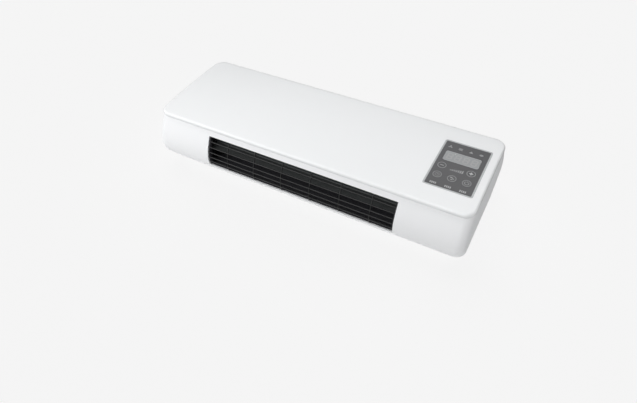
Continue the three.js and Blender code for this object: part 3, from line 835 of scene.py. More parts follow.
@dataclass
class Casing:
    """The two halves of the case."""

    form: CaseForm
    step: float = 0.003
    seam_round: float = 0.0007
    rear_round: float = 0.004
    switch_margin: float = 0.0006
    pocket: float = 0.0034
    gland_margin: float = 0.0005
    keyhole_head: float = 0.00475
    keyhole_slot: float = 0.0024
    keyhole: tuple[float, float, float] = (0.190, 0.044, 0.012)

    def build(self) -> None:
        """Makes both halves."""
        self._front()
        self._rear()

    def _front(self) -> None:
        """Makes the front half, with its outlet, its intake and the pockets of the mains entry."""
        form = self.form
        fixed = {form.outlet.low, form.outlet.high, form.intake.low, form.intake.high}
        count = round((form.groove - form.seam) / self.step)
        even = {form.seam + (form.groove - form.seam) * i / count for i in range(count + 1)}
        near = {z for z in even if form.seam < z < form.groove and min(abs(z - f) for f in fixed) < 0.0016}
        heights = sorted((even - near) | fixed)
        levels = [*self._rim(form.seam, 1), *((z, 0.0) for z in heights[1:])]
        cap = (form.groove, form.groove - form.wall)
        made = form.shell(levels, cap, (form.outlet, form.intake)).as_object("front_case")
        self._pockets(made)
        place(made, SHELL_WHITE, "case", "front_shell", sharp=40)

    def _rim(self, height: float, way: int) -> list[tuple[float, float]]:
        """Gives the levels of a softly rounded rim at the seam, going up or down from a height."""
        angles = [math.pi / 2 * step / 5 for step in range(6)]
        rounding = [
            (
                height + way * self.seam_round * (1 - math.cos(angle)),
                self.seam_round * (1 - math.sin(angle)))
            for angle in angles]
        return [*rounding, (height + way * self.seam_round * 1.4, 0.0)]

    def _pockets(self, made: bpy.types.Object) -> None:
        """Sinks the switch and the cord gland into the left side."""
        wall = -self.form.half_x
        low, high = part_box("rocker_housing")
        thick = self.form.wall
        margin = self.switch_margin
        backing = Shape()
        backing.block(
            (wall + 0.0015, low.y - 0.0045, low.z - 0.0045),
            (wall + self.pocket + thick, high.y + 0.0045, high.z + 0.0045))
        combine(made, backing, Join.ADD)
        pocket = Shape()
        pocket.block(
            (wall - 0.01, low.y - margin, low.z - margin),
            (wall + self.pocket, high.y + margin, high.z + margin))
        combine(made, pocket, Join.CUT)
        well = Shape()
        well.block(
            (wall - 0.01, low.y + 0.001, low.z + 0.001), (wall + 0.02, high.y - 0.001, high.z - 0.001))
        combine(made, well, Join.CUT)
        low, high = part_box("cord_gland")
        centre = Vector((wall, (low.y + high.y) / 2, (low.z + high.z) / 2))
        radius = (high.y - low.y) / 2
        across = Vector((1, 0, 0))
        boss = Shape()
        boss.turned(
            [
                (0, 0.0015), (radius + thick, 0.0015), (radius + thick, self.pocket + thick),
                (0, self.pocket + thick)],
            centre, across)
        combine(made, boss, Join.ADD)
        bore = Shape()
        rim = radius + self.gland_margin
        neck = radius - 0.0017
        bore.turned(
            [(0, -0.01), (rim, -0.01), (rim, self.pocket), (neck, self.pocket), (neck, 0.02), (0, 0.02)],
            centre, across)
        combine(made, bore, Join.CUT)

    def _rear(self) -> None:
        """Makes the rear half, with its rounded edge, foot seats, screw wells and keyholes."""
        form = self.form
        low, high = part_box("rear_shell")
        radius = self.rear_round
        rounding = []
        for step in range(9):
            angle = math.pi / 2 * step / 8
            rounding.append((low.z + radius * (1 - math.sin(angle)), radius * (1 - math.cos(angle))))
        count = 10
        start = low.z + radius
        straight = [
            *self._rim(high.z, -1), *((high.z + (start - high.z) * i / count, 0.0) for i in range(1, count))
        ]
        levels = [*straight, (start + 0.0004, 0.0), *rounding]
        made = form.shell(levels, (low.z, low.z + form.wall)).as_object("rear_case")
        for x in (-self.keyhole[0], self.keyhole[0]):
            hole = Shape()
            _, y, travel = self.keyhole
            head, slot = self.keyhole_head, self.keyhole_slot
            meet = math.asin(slot / head)
            outline = ring_points((x, y), head, 36, math.pi / 2 + meet, 2 * math.pi - 2 * meet)
            outline += ring_points((x, y + travel), slot, 12, 0.0, math.pi)
            base = hole.points((*flat, low.z - 0.002) for flat in outline)
            top = hole.points((*flat, low.z + 0.006) for flat in outline)
            hole.band(base, top)
            hole.mesh.faces.new(base)
            hole.mesh.faces.new(top)
            combine(made, hole, Join.CUT)
        self._wells(made, low.z)
        place(made, SHELL_WHITE, "case", "rear_shell", sharp=40)

    def _wells(self, made: bpy.types.Object, floor: float) -> None:
        """Adds the screw posts, and cuts the screw wells and foot seats."""
        up = Vector((0, 0, 1))
        posts, wells = Shape(), Shape()
        for index in range(1, 7):
            low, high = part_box(f"case_screw_{index}")
            centre = Vector(((low.x + high.x) / 2, (low.y + high.y) / 2, 0.0))
            head = (high.x - low.x) / 2 + self.form.clearance
            shank = head - 0.0019
            post_top = high.z - 0.0085
            seat = low.z + 0.0027
            posts.turned(
                [
                    (0, floor + 0.001), (head + 0.0018, floor + 0.001), (head + 0.0018, post_top),
                    (0, post_top)],
                centre, up)
            wells.turned(
                [
                    (0, floor - 0.002), (head, floor - 0.002), (head, seat), (shank, seat), (shank, 0.04),
                    (0, 0.04)],
                centre, up)
        for index in range(1, 5):
            low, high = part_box(f"foot_{index}")
            centre = Vector(((low.x + high.x) / 2, (low.y + high.y) / 2, 0.0))
            seat = (high.x - low.x) / 2 + self.form.clearance
            wells.turned(
                [
                    (0, floor - 0.002), (seat, floor - 0.002), (seat, floor + 0.001),
                    (0.0033, floor + 0.001), (0.0033, 0.02), (0, 0.02)],
                centre, up)
        combine(made, posts, Join.ADD)
        combine(made, wells, Join.CUT)


@dataclass
class PanelCover:
    """The crowned cover plate and its rounded lip."""

    form: CaseForm
    crown: float = 0.002
    corner: float = 0.019
    lip_in: float = 0.0009
    lip_in_ends: float = 0.0005
    edge: float = 0.0036
    skirt: float = 0.006
    plate: float = 0.0032
    seat: float = 0.0012
    seat_gap: float = 0.0001

    def __post_init__(self) -> None:
        """Takes the outer sizes from the frame."""
        self.low, self.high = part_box("front_panel")
        self.outline = Outline(self.high.x, self.high.y, self.corner, cuts=self.form.cuts, across=24)

    def top(self, y: float) -> float:
        """Gives the crowned surface's height."""
        return self.high.z - self.crown * (y / self.high.y) ** 2

    def build(self) -> None:
        """Makes the cover and sinks the seat of the touch controls into it."""
        shape = Shape()
        rows = []
        lip = self.low.z
        pocket = self.high.z - self.crown - self.plate
        for inset, z in ((self.skirt, pocket), (self.skirt, lip)):
            rows.append(shape.points((*flat, z) for flat in self.outline.inset(inset).loop()))
        for share, z in (
            (1.9, lip), (1.2, lip + 0.0002), (0.9, lip + 0.0007), (0.4, lip + 0.0018), (0.0, lip + 0.0032)):
            ends, sides = self.lip_in_ends * share, self.lip_in * share
            ring = Outline(
                self.high.x - ends, self.high.y - sides, self.corner - sides, cuts=self.form.cuts, across=24)
            rows.append(shape.points((*flat, z) for flat in ring.loop()))
        for step in range(13):
            angle = math.pi / 2 * step / 12
            inset = self.edge * (1 - math.cos(angle))
            drop = self.edge * (1 - math.sin(angle))
            loop = self.outline.inset(inset).loop()
            rows.append(shape.points((x, y, self.top(y) - drop) for x, y in loop))
        for low, high in zip(rows, rows[1:]):
            shape.band(low, high)
        inner = self.outline.inset(self.edge)
        grid = [shape.points((x, y, self.top(y)) for x, y in column) for column in inner.grid()]
        for left, right in zip(grid, grid[1:]):
            shape.band(left, right, closed=False)
        shape.mesh.faces.new(rows[0])
        bmesh.ops.remove_doubles(shape.mesh, verts=shape.mesh.verts, dist=1e-6)
        made = shape.as_object("panel_cover")
        self._cut_seat(made)
        place(made, PANEL_WHITE, "case", "front_panel", sharp=50)

    def _cut_seat(self, made: bpy.types.Object) -> None:
        """Cuts the shallow seat that the touch controls lie in."""
        low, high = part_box("control_bezel")
        gap = self.seat_gap
        half = ((high.x - low.x) / 2 + gap, (high.y - low.y) / 2 + gap)
        seat = Outline(half[0], half[1], 0.0037, (low.x + high.x) / 2, (low.y + high.y) / 2)
        cutter = Shape()
        cutter.slab(seat, lambda flat: self.top(flat[1]) - self.seat, lambda flat: self.top(flat[1]) + 0.01)
        combine(made, cutter, Join.CUT)


# ---- Outlet and intake -----------------------------------------------------------------------


@dataclass
class SkinPatch:
    """A thick piece of the case's curved side, with rectangular holes through it."""

    form: CaseForm
    side: int
    outer: float
    inner: float

    def add(
        self, shape: Shape, xs: Sequence[float], zs: Sequence[float], solid: Callable[[float, float], bool]
    ) -> None:
        """Adds the patch to a shape.

        Args:
            shape: the mesh that it joins.
            xs: the upright grid lines.
            zs: the level grid lines.
            solid: says whether the cell with that middle is there.
        """
        skins = [
            [shape.points((x, self.side * self.form.side(z, inset), z) for x in xs) for z in zs]
            for inset in (self.outer, self.inner)]
        cells = {
            (i, j) for i in range(len(zs) - 1) for j in range(len(xs) - 1)
            if solid((xs[j] + xs[j + 1]) / 2, (zs[i] + zs[i + 1]) / 2)}
        for i, j in cells:
            for rows in skins:
                shape.face(rows[i][j], rows[i][j + 1], rows[i + 1][j + 1], rows[i + 1][j])
            for (di, dj), (a, b) in {
                (-1, 0): ((i, j), (i, j + 1)), (1, 0): ((i + 1, j), (i + 1, j + 1)),
                (0, -1): ((i, j), (i + 1, j)), (0, 1): ((i, j + 1), (i + 1, j + 1)),
            }.items():
                if (i + di, j + dj) not in cells:
                    shape.face(
                        skins[0][a[0]][a[1]], skins[0][b[0]][b[1]], skins[1][b[0]][b[1]],
                        skins[1][a[0]][a[1]])
        loose = [vert for vert in shape.mesh.verts if not vert.link_faces]
        bmesh.ops.delete(shape.mesh, geom=loose, context="VERTS")


def spread(low: float, high: float, count: int) -> list[float]:
    """Gives evenly spaced numbers from low to high, both included."""
    return [low + (high - low) * i / count for i in range(count + 1)]


def round_section(radius: float, steps: int = 12, stretch: float = 1.0) -> list[Flat]:
    """Gives a round section, stretched upwards by a factor."""
    return [(x, y * stretch) for x, y in ring_points((0.0, 0.0), radius, steps)]


@dataclass
class OutletGrille:
    """The wire grille in the warm air outlet."""

    form: CaseForm
    rim: float = 0.002
    sunk: float = 0.0024
    depth: float = 0.009
    wires: int = 5
    wire: float = 0.0008
    wire_depth: float = 0.0017
    ribs: int = 6
    rib: float = 0.0009
    rib_depth: float = 0.0030

    def build(self) -> None:
        """Makes the frame, the level wires and the upright ribs as one moulding."""
        opening = self.form.outlet
        gap = self.form.clearance
        half = opening.half_x - gap
        low, high = opening.low + gap, opening.high - gap
        shape = Shape()
        zs = [low, *spread(low + self.rim, high - self.rim, 12), high]
        xs = [-half, *spread(self.rim - half, half - self.rim, 8), half]
        patch = SkinPatch(self.form, -1, self.sunk, self.depth)
        patch.add(
            shape, xs, zs, lambda x, z: abs(x) > half - self.rim or z < low + self.rim
            or z > high - self.rim)
        made = shape.as_object("outlet_frame")
        place(made, BLACK_PLASTIC, "case", bevel=0.0003)
        bars = Shape()
        pitch = (opening.high - opening.low) / (self.wires + 1)
        section = round_section(self.wire)
        for i in range(self.wires):
            z = opening.low + (i + 1) * pitch
            y = -self.form.side(z, self.wire_depth)
            bars.bar([Vector((x, y, z)) for x in spread(-half, half, 8)], section)
        pitch = 2 * opening.half_x / (self.ribs + 0.5)
        for i in range(self.ribs):
            x = (i - (self.ribs - 1) / 2) * pitch
            path = [Vector((x, -self.form.side(z, self.rib_depth), z)) for z in spread(low, high, 20)]
            bars.bar(path, round_section(self.rib, 12, 1.7), up=Vector((0, -1, 0)))
        place(bars.as_object("outlet_grille_bars"), GRILLE_WIRE, "case", "outlet_grille")


@dataclass
class IntakeFilter:
    """The pull-out dust filter: a curved frame with bars, and the net behind them."""

    form: CaseForm
    rim: float = 0.006
    bars: int = 8
    bar: float = 0.001
    outer: float = 0.0005
    inner: float = 0.006
    net_depth: float = 0.0066
    pitch: float = 0.0022
    thread: float = 0.00022
    finger: float = 0.016

    def build(self) -> None:
        """Makes the frame and the net."""
        gap = self.form.clearance
        opening = self.form.intake
        half = opening.half_x - gap
        low, high = opening.low + gap, opening.high - gap
        centres = [-half + 2 * half * i / self.bars for i in range(1, self.bars)]
        xs = [-half, self.rim - half, half - self.rim, half, -self.finger, self.finger]
        xs += [centre + side * self.bar for centre in centres for side in (-1, 1)]
        zs = [low, low + 0.0032, *spread(low + self.rim, high - self.rim, 12), high]

        def solid(x: float, z: float) -> bool:
            """Says where the frame has material."""
            if abs(x) < self.finger and z < low + 0.0032:
                return False
            if abs(x) > half - self.rim or z < low + self.rim or z > high - self.rim:
                return True
            return any(abs(x - centre) < self.bar for centre in centres)

        frame_shape = Shape()
        SkinPatch(self.form, 1, self.outer, self.inner).add(frame_shape, sorted(set(xs)), zs, solid)
        place(frame_shape.as_object("filter_cassette"), SHELL_WHITE, "filter", "filter_frame", bevel=0.0004)
        net = Shape()
        square = round_section(self.thread, 4)
        rise = spread(low + 0.004, high - 0.002, 12)
        count = round((2 * half - 0.004) / self.pitch)
        for x in spread(0.002 - half, half - 0.002, count):
            net.bar(
                [Vector((x, self.form.side(z, self.net_depth), z)) for z in rise], square,
                up=Vector((0, 1, 0)))
        count = round((rise[-1] - rise[0]) / self.pitch)
        for z in spread(rise[0], rise[-1], count):
            y = self.form.side(z, self.net_depth + self.thread)
            net.bar([Vector((x, y, z)) for x in (0.002 - half, half - 0.002)], square)
        place(net.as_object("filter_net"), NET, "filter", "filter_mesh")


# ---- Touch controls --------------------------------------------------------------------------


@dataclass
class TouchControls:
    """The touch film, its border, its window and everything printed on them."""

    cover: PanelCover
    sheet: float = 0.0009
    ink: float = 0.00006
    line: float = 0.0009
    key: float = 0.0062
    film_corner: float = 0.0016
    lens_corner: float = 0.0026
    symbols: Shape = field(default_factory=Shape)
    bright: Shape = field(default_factory=Shape)

    def __post_init__(self) -> None:
        """Takes the places from the frame."""
        low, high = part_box("control_overlay")
        self.centre = ((low.x + high.x) / 2, (low.y + high.y) / 2)
        self.film = Outline((high.x - low.x) / 2, (high.y - low.y) / 2, self.film_corner, *self.centre)
        low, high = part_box("display_window")
        self.window = Outline(
            (high.x - low.x) / 2, (high.y - low.y) / 2, self.lens_corner, (low.x + high.x) / 2,
            (low.y + high.y) / 2, arc=6, across=8)
        self.keys = []
        for index in range(1, 6):
            low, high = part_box(f"touch_spring_{index}")
            self.keys.append(((low.x + high.x) / 2, (low.y + high.y) / 2))

    def on_film(self, flat: Flat, rise: float) -> Vector:
        """Gives the point that far above the film."""
        return Vector((*flat, self.cover.top(flat[1]) + rise))

    def build(self) -> None:
        """Makes every piece of the controls."""
        self._film()
        self._border()
        self._lens()
        self._digits()
        self._keys()
        self._icons()
        place(self.symbols.as_object("printed_symbols"), SYMBOL_INK, "case")
        place(self.bright.as_object("printed_bright_marks"), BRIGHT_INK, "case")

    def _film(self) -> None:
        """Makes the film and cuts its window."""
        shape = Shape()
        shape.slab(
            self.film, lambda flat: self.cover.top(flat[1]) - self.sheet,
            lambda flat: self.cover.top(flat[1]))
        made = shape.as_object("touch_film")
        cutter = Shape()
        cutter.slab(self.window.inset(-0.0003), lambda flat: 0.09, lambda flat: 0.13)
        combine(made, cutter, Join.CUT)
        place(made, OVERLAY_GREY, "case", "control_overlay")

    def _border(self) -> None:
        """Makes the light border, sloped down towards the film."""
        shape = Shape()
        half = (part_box("control_bezel")[1].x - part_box("control_overlay")[1].x) / 2
        path = [self.on_film(flat, 0.0) for flat in self.film.inset(-half).loop()]
        section = [
            (-half, -self.sheet), (half, -self.sheet), (half, 0.0), (half * 0.7, 0.00018),
            (-half * 0.3, 0.0002), (-half, 0.00002)]
        shape.bar(path, section, closed=True, up=Vector((0, 0, 1)))
        place(shape.as_object("control_border"), BEZEL_GREY, "case", "control_bezel", sharp=50)

    def _lens(self) -> None:
        """Makes the window with its rounded edge."""
        shape = Shape()
        shape.slab(
            self.window, lambda flat: self.cover.top(flat[1]) - self.sheet,
            lambda flat: self.cover.top(flat[1]) + 0.00008)
        place(shape.as_object("display_lens"), LENS, "case", "display_window", bevel=0.0002, sharp=50)

    def stroke(
        self, shape: Shape, path: Sequence[Flat], width: float, closed: bool = False, rise: float = 0.0
    ) -> None:
        """Prints a line.

        Args:
            shape: the mesh that takes it.
            path: the line's points.
            width: how wide the line is.
            closed: whether it meets its own start.
            rise: how far above the film it lies.
        """
        half = width / 2
        section = [(-half, -self.ink), (half, -self.ink), (half, self.ink), (-half, self.ink)]
        shape.bar(
            [self.on_film(flat, self.ink * 0.4 + rise) for flat in path], section, closed, Vector((0, 0, 1))
        )

    def patch(self, shape: Shape, outline: Sequence[Flat], rise: float = 0.0) -> None:
        """Prints a filled shape."""
        low = shape.points(self.on_film(flat, rise - self.ink * 0.6) for flat in outline)
        high = shape.points(self.on_film(flat, rise + self.ink * 1.4) for flat in outline)
        shape.band(low, high)
        shape.mesh.faces.new(reversed(low))
        shape.mesh.faces.new(high)

    def _digits(self) -> None:
        """Prints four seven-segment digits on the window and the small lit point beside them, with a lighter line
        just inside the window's edge: a painted highlight of the lens edge.
        """
        segments = Shape()
        digit = (0.0072, 0.0125)
        pitch = 0.0127
        rise = 0.0001
        for index in range(4):
            x = self.window.x + (index - 1.5) * pitch
            self._digit(segments, (x, self.window.y - 0.0002), digit, rise)
        place(segments.as_object("display_digits"), SEGMENT_INK, "case")
        # Painted highlight: a lighter line just inside the window's edge, where the lens edge catches the light.
        shadow = Shape()
        edge = self.window.inset(0.0009).loop()
        self.stroke(shadow, edge, 0.0006, True, rise)
        place(shadow.as_object("display_edge_painted_highlight"), LENS_EDGE_HIGHLIGHT, "case")
        dot = (self.window.x - pitch, self.window.y + 0.0068)
        self.patch(self.bright, ring_points(dot, 0.0011, 20), rise)

    def _digit(self, shape: Shape, centre: Flat, size: Flat, rise: float) -> None:
        """Prints the seven segments of one digit, leaning a little."""
        width = 0.0021
        half_x, half_y = size[0] / 2, size[1] / 2
        lean = 0.08
        gap = 0.0004
        corners = {
            (side, level): (centre[0] + side * half_x + lean * level * half_y, centre[1] + level * half_y)
            for side in (-1, 1) for level in (-1, 0, 1)}
        ends = [((-1, level), (1, level)) for level in (-1, 0, 1)]
        ends += [((side, level), (side, level + 1)) for side in (-1, 1) for level in (-1, 0)]
        for first, last in ends:
            a, b = Vector(corners[first]), Vector(corners[last])
            along = (b - a).normalized()
            self.stroke(shape, [tuple(a + along * gap), tuple(b - along * gap)], width, rise=rise)

    def _keys(self) -> None:
        """Prints the five keys: less, more, timer, swing and power."""
        minus, plus, timer, swing, power = self.keys
        for centre in self.keys:
            self.stroke(self.symbols, ring_points(centre, self.key), self.line, True)
        self.stroke(self.symbols, [(minus[0] - 0.0029, minus[1]), (minus[0] + 0.0029, minus[1])], 0.0019)
        for ahead in ((0.0030, 0.0), (0.0, 0.0030)):
            ends = [(plus[0] - ahead[0], plus[1] - ahead[1]), (plus[0] + ahead[0], plus[1] + ahead[1])]
            self.stroke(self.bright, ends, 0.0019, rise=0.00004 if ahead[0] else 0.0)
        self.stroke(self.symbols, ring_points(timer, 0.0031, 32), 0.0008, True)
        hands = [(timer[0], timer[1] + 0.0019), timer, (timer[0] + 0.0015, timer[1])]
        self.stroke(self.symbols, hands, 0.0007)
        self.stroke(
            self.bright, [(swing[0] - 0.0031, swing[1] + 0.0024), (swing[0] + 0.0014, swing[1] + 0.0012)],
            0.0014)
        self.stroke(
            self.symbols, ring_points((swing[0] - 0.001, swing[1] + 0.0012), 0.0042, 16, -1.5, 1.5), 0.0010)
        self.stroke(
            self.symbols, ring_points((swing[0] - 0.001, swing[1] - 0.0006), 0.0017, 12, -2.6, 2.4), 0.0009)
        self.stroke(
            self.symbols, ring_points(power, 0.0032, 32, math.pi / 2 + 0.6, 2 * math.pi - 1.2), 0.0012)
        self.stroke(self.symbols, [(power[0], power[1] + 0.0012), (power[0], power[1] + 0.0042)], 0.0011)

    def _icons(self) -> None:
        """Prints the status icons, the rising fan-speed bars and the plain marks under the keys."""
        top = self.window.y + self.window.half_y + 0.0107
        spots = [(self.window.x + place_x, top) for place_x in (-0.0253, -0.009, 0.0075, 0.0235)]
        fan, waves, flame, drop = spots
        self.patch(self.symbols, ring_points(fan, 0.0013, 16))
        for index in range(3):
            turn = math.pi / 2 + 2 * math.pi * index / 3
            blade = (fan[0] + 0.0022 * math.cos(turn), fan[1] + 0.0022 * math.sin(turn))
            self.patch(self.symbols, ring_points(blade, 0.00125, 14))
        for shift in (-0.0018, 0.0, 0.0018):
            wave = [
                (waves[0] + along - 0.003, waves[1] + shift + 0.0004 * math.sin(along * 2100))
                for along in spread(0.0, 0.006, 12)]
            self.stroke(self.symbols, wave, 0.0011)
        self.patch(
            self.symbols,
            [
                (flame[0] - 0.0032, flame[1] - 0.0022), (flame[0] + 0.0032, flame[1] - 0.0022),
                (flame[0], flame[1] + 0.0028)]
        )
        self.patch(
            self.symbols, [(drop[0] + 1.35 * (x - drop[0]), y) for x, y in ring_points(drop, 0.0023, 24)])
        speed = (self.centre[0] - 0.009, self.keys[0][1] - 0.0048)
        for index in range(7):
            x = speed[0] + index * 0.003
            height = 0.0028 + index * 0.00065
            foot = speed[1] - 0.0012
            self.stroke(self.bright, [(x, foot), (x + 0.0003, foot + height)], 0.0009 + 0.00005 * index)
        for x, _ in self.keys[2:]:
            for index in range(4):
                mark = (x - 0.0039 + index * 0.0026, -0.0492)
                self.stroke(self.bright, [(mark[0], mark[1] - 0.0019), (mark[0], mark[1] + 0.0019)], 0.0014)


# ---- Mains entry and feet --------------------------------------------------------------------


@dataclass
class MainsEntry:
    """The rocker switch and the cord gland in the left side."""

    tilt: float = math.radians(-10)

    def build(self) -> None:
        """Makes the switch's frame and paddle, and the gland."""
        self._switch_frame()
        self._paddle()
        self._gland()

    def _switch_frame(self) -> None:
        """Makes the switch's frame with its well."""
        low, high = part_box("rocker_housing")
        shape = Shape()
        shape.block((low.x, low.y, low.z), (low.x + 0.0013, high.y, high.z))
        made = shape.as_object("switch_frame")
        body = Shape()
        body.block(
            (low.x + 0.001, low.y + 0.0013, low.z + 0.0013), (high.x, high.y - 0.0013, high.z - 0.0013))
        combine(made, body, Join.ADD)
        well = Shape()
        well.block(
            (low.x - 0.002, low.y + 0.0026, low.z + 0.0026),
            (low.x + 0.0096, high.y - 0.0026, high.z - 0.0026))
        combine(made, well, Join.CUT)
        place(made, BLACK_PLASTIC, "case", "rocker_housing", bevel=0.0003)

    def _paddle(self) -> None:
        """Makes the rocking paddle, dished towards its middle, with its off and on marks."""
        joint = next(joint for joint in frame["joints"] if joint["name"] == "rocker_press")
        pivot = Vector(joint["pos_m"])
        half_y, half_z, front, back = 0.0069, 0.0045, -0.0014, 0.0024
        turn = Matrix.Translation(pivot) @ Matrix.Rotation(self.tilt, 4, "Z")
        shape = Shape()
        rows = []

        def face(y: float) -> float:
            """Gives how far out the dished face stands at a place along the paddle."""
            return front + 0.0007 * (1 - (y / half_y) ** 2)

        for y in spread(-half_y, half_y, 12):
            corners = [(face(y), -half_z), (back, -half_z), (back, half_z), (face(y), half_z)]
            rows.append(shape.points(turn @ Vector((x, y, z)) for x, z in corners))
        for first, second in zip(rows, rows[1:]):
            shape.band(first, second)
        shape.mesh.faces.new(rows[0])
        shape.mesh.faces.new(reversed(rows[-1]))
        place(shape.as_object("rocker_paddle"), BLACK_PLASTIC, "rocker", "rocker_button", bevel=0.0004)
        marks = Shape()
        out = Vector((-1, 0, 0))
        for y, path, closed in (
            (-0.0042, [(0.0, -0.0013), (0.0, 0.0013)], False),
            (0.0042, ring_points((0.0, 0.0), 0.0013, 24), True),
        ):
            points = [turn @ Vector((face(y + along) - 0.00004, y + along, rise)) for along, rise in path]
            section = [(-0.0002, -0.00012), (0.0002, -0.00012), (0.0002, 0.00006), (-0.0002, 0.00006)]
            marks.bar(points, section, closed, out)
        place(marks.as_object("rocker_marks"), SWITCH_MARK, "rocker")

    def _gland(self) -> None:
        """Turns the gland: a flange, a ribbed neck and the cord's bore."""
        low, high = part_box("cord_gland")
        centre = Vector((low.x, (low.y + high.y) / 2, (low.z + high.z) / 2))
        radius = (high.y - low.y) / 2
        length = high.x - low.x
        bore, neck = 0.0034, radius - 0.002
        profile = [
            (bore + 0.0006, 0.0), (bore, 0.0006), (bore, length), (neck - 0.0008, length),
            (neck, length - 0.0012)]
        for step in range(4):
            top = length - 0.003 - step * 0.002
            profile += [
                (neck, top), (neck - 0.0006, top - 0.0005), (neck - 0.0006, top - 0.0012),
                (neck, top - 0.0017)]
        profile += [
            (neck, 0.0023), (radius - 0.0003, 0.0023), (radius, 0.002), (radius, 0.0005),
            (radius - 0.0006, 0.0)]
        shape = Shape()
        shape.turned(profile, centre, Vector((1, 0, 0)), 48)
        place(shape.as_object("cord_gland_moulding"), RUBBER, "case", "cord_gland", sharp=30)


@dataclass
class Feet:
    """The four rubber feet."""

    dish: float = 0.0004

    def build(self) -> None:
        """Turns each foot."""
        for index in range(1, 5):
            low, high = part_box(f"foot_{index}")
            centre = Vector(((low.x + high.x) / 2, (low.y + high.y) / 2, low.z))
            radius = (high.x - low.x) / 2
            shoulder = 0.0037
            profile = [(0, self.dish), (
                radius * 0.45, self.dish), (radius * 0.6, 0.0), (radius - 0.0018, 0.0),
                       (radius - 0.0007, 0.0004), (radius - 0.0001, 0.0012), (radius, 0.002), (
                           radius, shoulder - 0.0003),
                       (
                           radius - 0.0003, shoulder
                       ), (0.003, shoulder), (0.003, high.z - 0.0008), (0.0022, high.z), (0, high.z)]
            shape = Shape()
            shape.turned(profile, centre, Vector((0, 0, 1)), 48)
            place(shape.as_object(f"rubber_foot_{index}"), RUBBER, "case", f"foot_{index}", sharp=40)


# ---- Inner parts -----------------------------------------------------------------------------


@dataclass
class Blower:
    """The cross-flow impeller, with curved vanes between its discs."""

    vanes: int = 32
    rings: int = 5
    vane: float = 0.0011
    chord: float = 0.0065
    disc: float = 0.0018

    def build(self) -> None:
        """Makes the impeller's vanes and discs."""
        low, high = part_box("crossflow_impeller")
        centre = Vector((0.0, (low.y + high.y) / 2, (low.z + high.z) / 2))
        radius = (high.z - low.z) / 2
        shape = Shape()
        along = Vector((1, 0, 0))
        for index, x in enumerate(spread(low.x, high.x - self.disc, self.rings)):
            bore = 0.0093 if index == 0 else 0.0033 if index == self.rings else radius - self.chord - 0.004
            edge = 0.0003
            profile = [
                (bore, 0.0), (radius - edge, 0.0), (radius, edge), (radius, self.disc - edge),
                (radius - edge, self.disc), (bore, self.disc)]
            shape.turned(profile, Vector((x, centre.y, centre.z)), along, 64)
        for index in range(self.vanes):
            turn = 2 * math.pi * index / self.vanes
            curve = []
            for step in range(7):
                share = step / 6
                reach = radius - 0.001 - self.chord * share
                curve.append((turn + 0.16 * math.sin(math.pi * share / 2), reach))
            outline = [(angle, reach) for angle, reach in curve]
            outline += [(angle + self.vane / reach, reach) for angle, reach in reversed(curve)]
            ends = [
                shape.points(
                    (x, centre.y + reach * math.cos(angle), centre.z + reach * math.sin(angle)) for angle,
                    reach in outline)
                for x in (low.x + 0.0004, high.x - 0.0004)]
            shape.band(*ends)
            shape.mesh.faces.new(reversed(ends[0]))
            shape.mesh.faces.new(ends[1])
        place(shape.as_object("impeller_vanes"), IMPELLER_GREY, "impeller", "crossflow_impeller")


@dataclass
class InnerParts:
    """Finishes for the CAD nodes that are shown as they are."""

    finishes: tuple[Finish, ...] = (
        BLACK_PLASTIC, CHARCOAL, STEEL, BRASS, ALUMINIUM, ELEMENT_METAL, BOARD, RELAY_BLUE, RUBBER, BEZEL_GREY, SHELL_WHITE,
        PANEL_WHITE, OVERLAY_GREY, LENS, NET, IMPELLER_GREY,
    )

    def build(self) -> None:
        """Gives every CAD node the finish of its slot in the record."""
        by_slot = {finish.slot: finish for finish in reversed(self.finishes)}
        for part in frame["record"]["subparts"]:
            node = frame["nodes"][part["node"]]
            finish = by_slot[part["material_slot"]]
            node.data.materials.clear()
            node.data.materials.append(finish.material())
            log.info("%s: %s", part["node"], finish.name)


# ---- Studio ----------------------------------------------------------------------------------


@dataclass
class Lamp:
    """A studio light: where it hangs and its power. It looks at the object's middle."""

    name: str
    place: tuple[float, float, float]
    power: float
    lights_floor: bool

    def light(self) -> bpy.types.Light:
        """Makes the light itself."""
        raise NotImplementedError

    def build(self, floor: bpy.types.Object) -> None:
        """Hangs the lamp and turns it to the middle."""
        data = self.light()
        data.energy = self.power
        lamp = bpy.data.objects.new(self.name, data)
        lamp.location = self.place
        lamp.rotation_euler = (-Vector(self.place)).to_track_quat("-Z", "Y").to_euler()
        bpy.context.scene.collection.objects.link(lamp)
        if not self.lights_floor:
            spared = bpy.data.collections.new(self.name + "_spares")
            spared.objects.link(floor)
            lamp.light_linking.receiver_collection = spared
            spared.collection_objects[0].light_linking.link_state = "EXCLUDE"


@dataclass
class WideLight(Lamp):
    """An even light from a far, wide panel, so many degrees across."""

    width: float

    def light(self) -> bpy.types.Light:
        """Makes the light itself."""
        data = bpy.data.lights.new(self.name, "SUN")
        data.angle = math.radians(self.width)
        return data


@dataclass
class Softbox(Lamp):
    """A near rectangular softbox, which fades along the object."""

    width: float
    height: float

    def light(self) -> bpy.types.Light:
        """Makes the light itself."""
        data = bpy.data.lights.new(self.name, "AREA")
        data.shape = "RECTANGLE"
        data.size, data.size_y = self.width, self.height
        return data


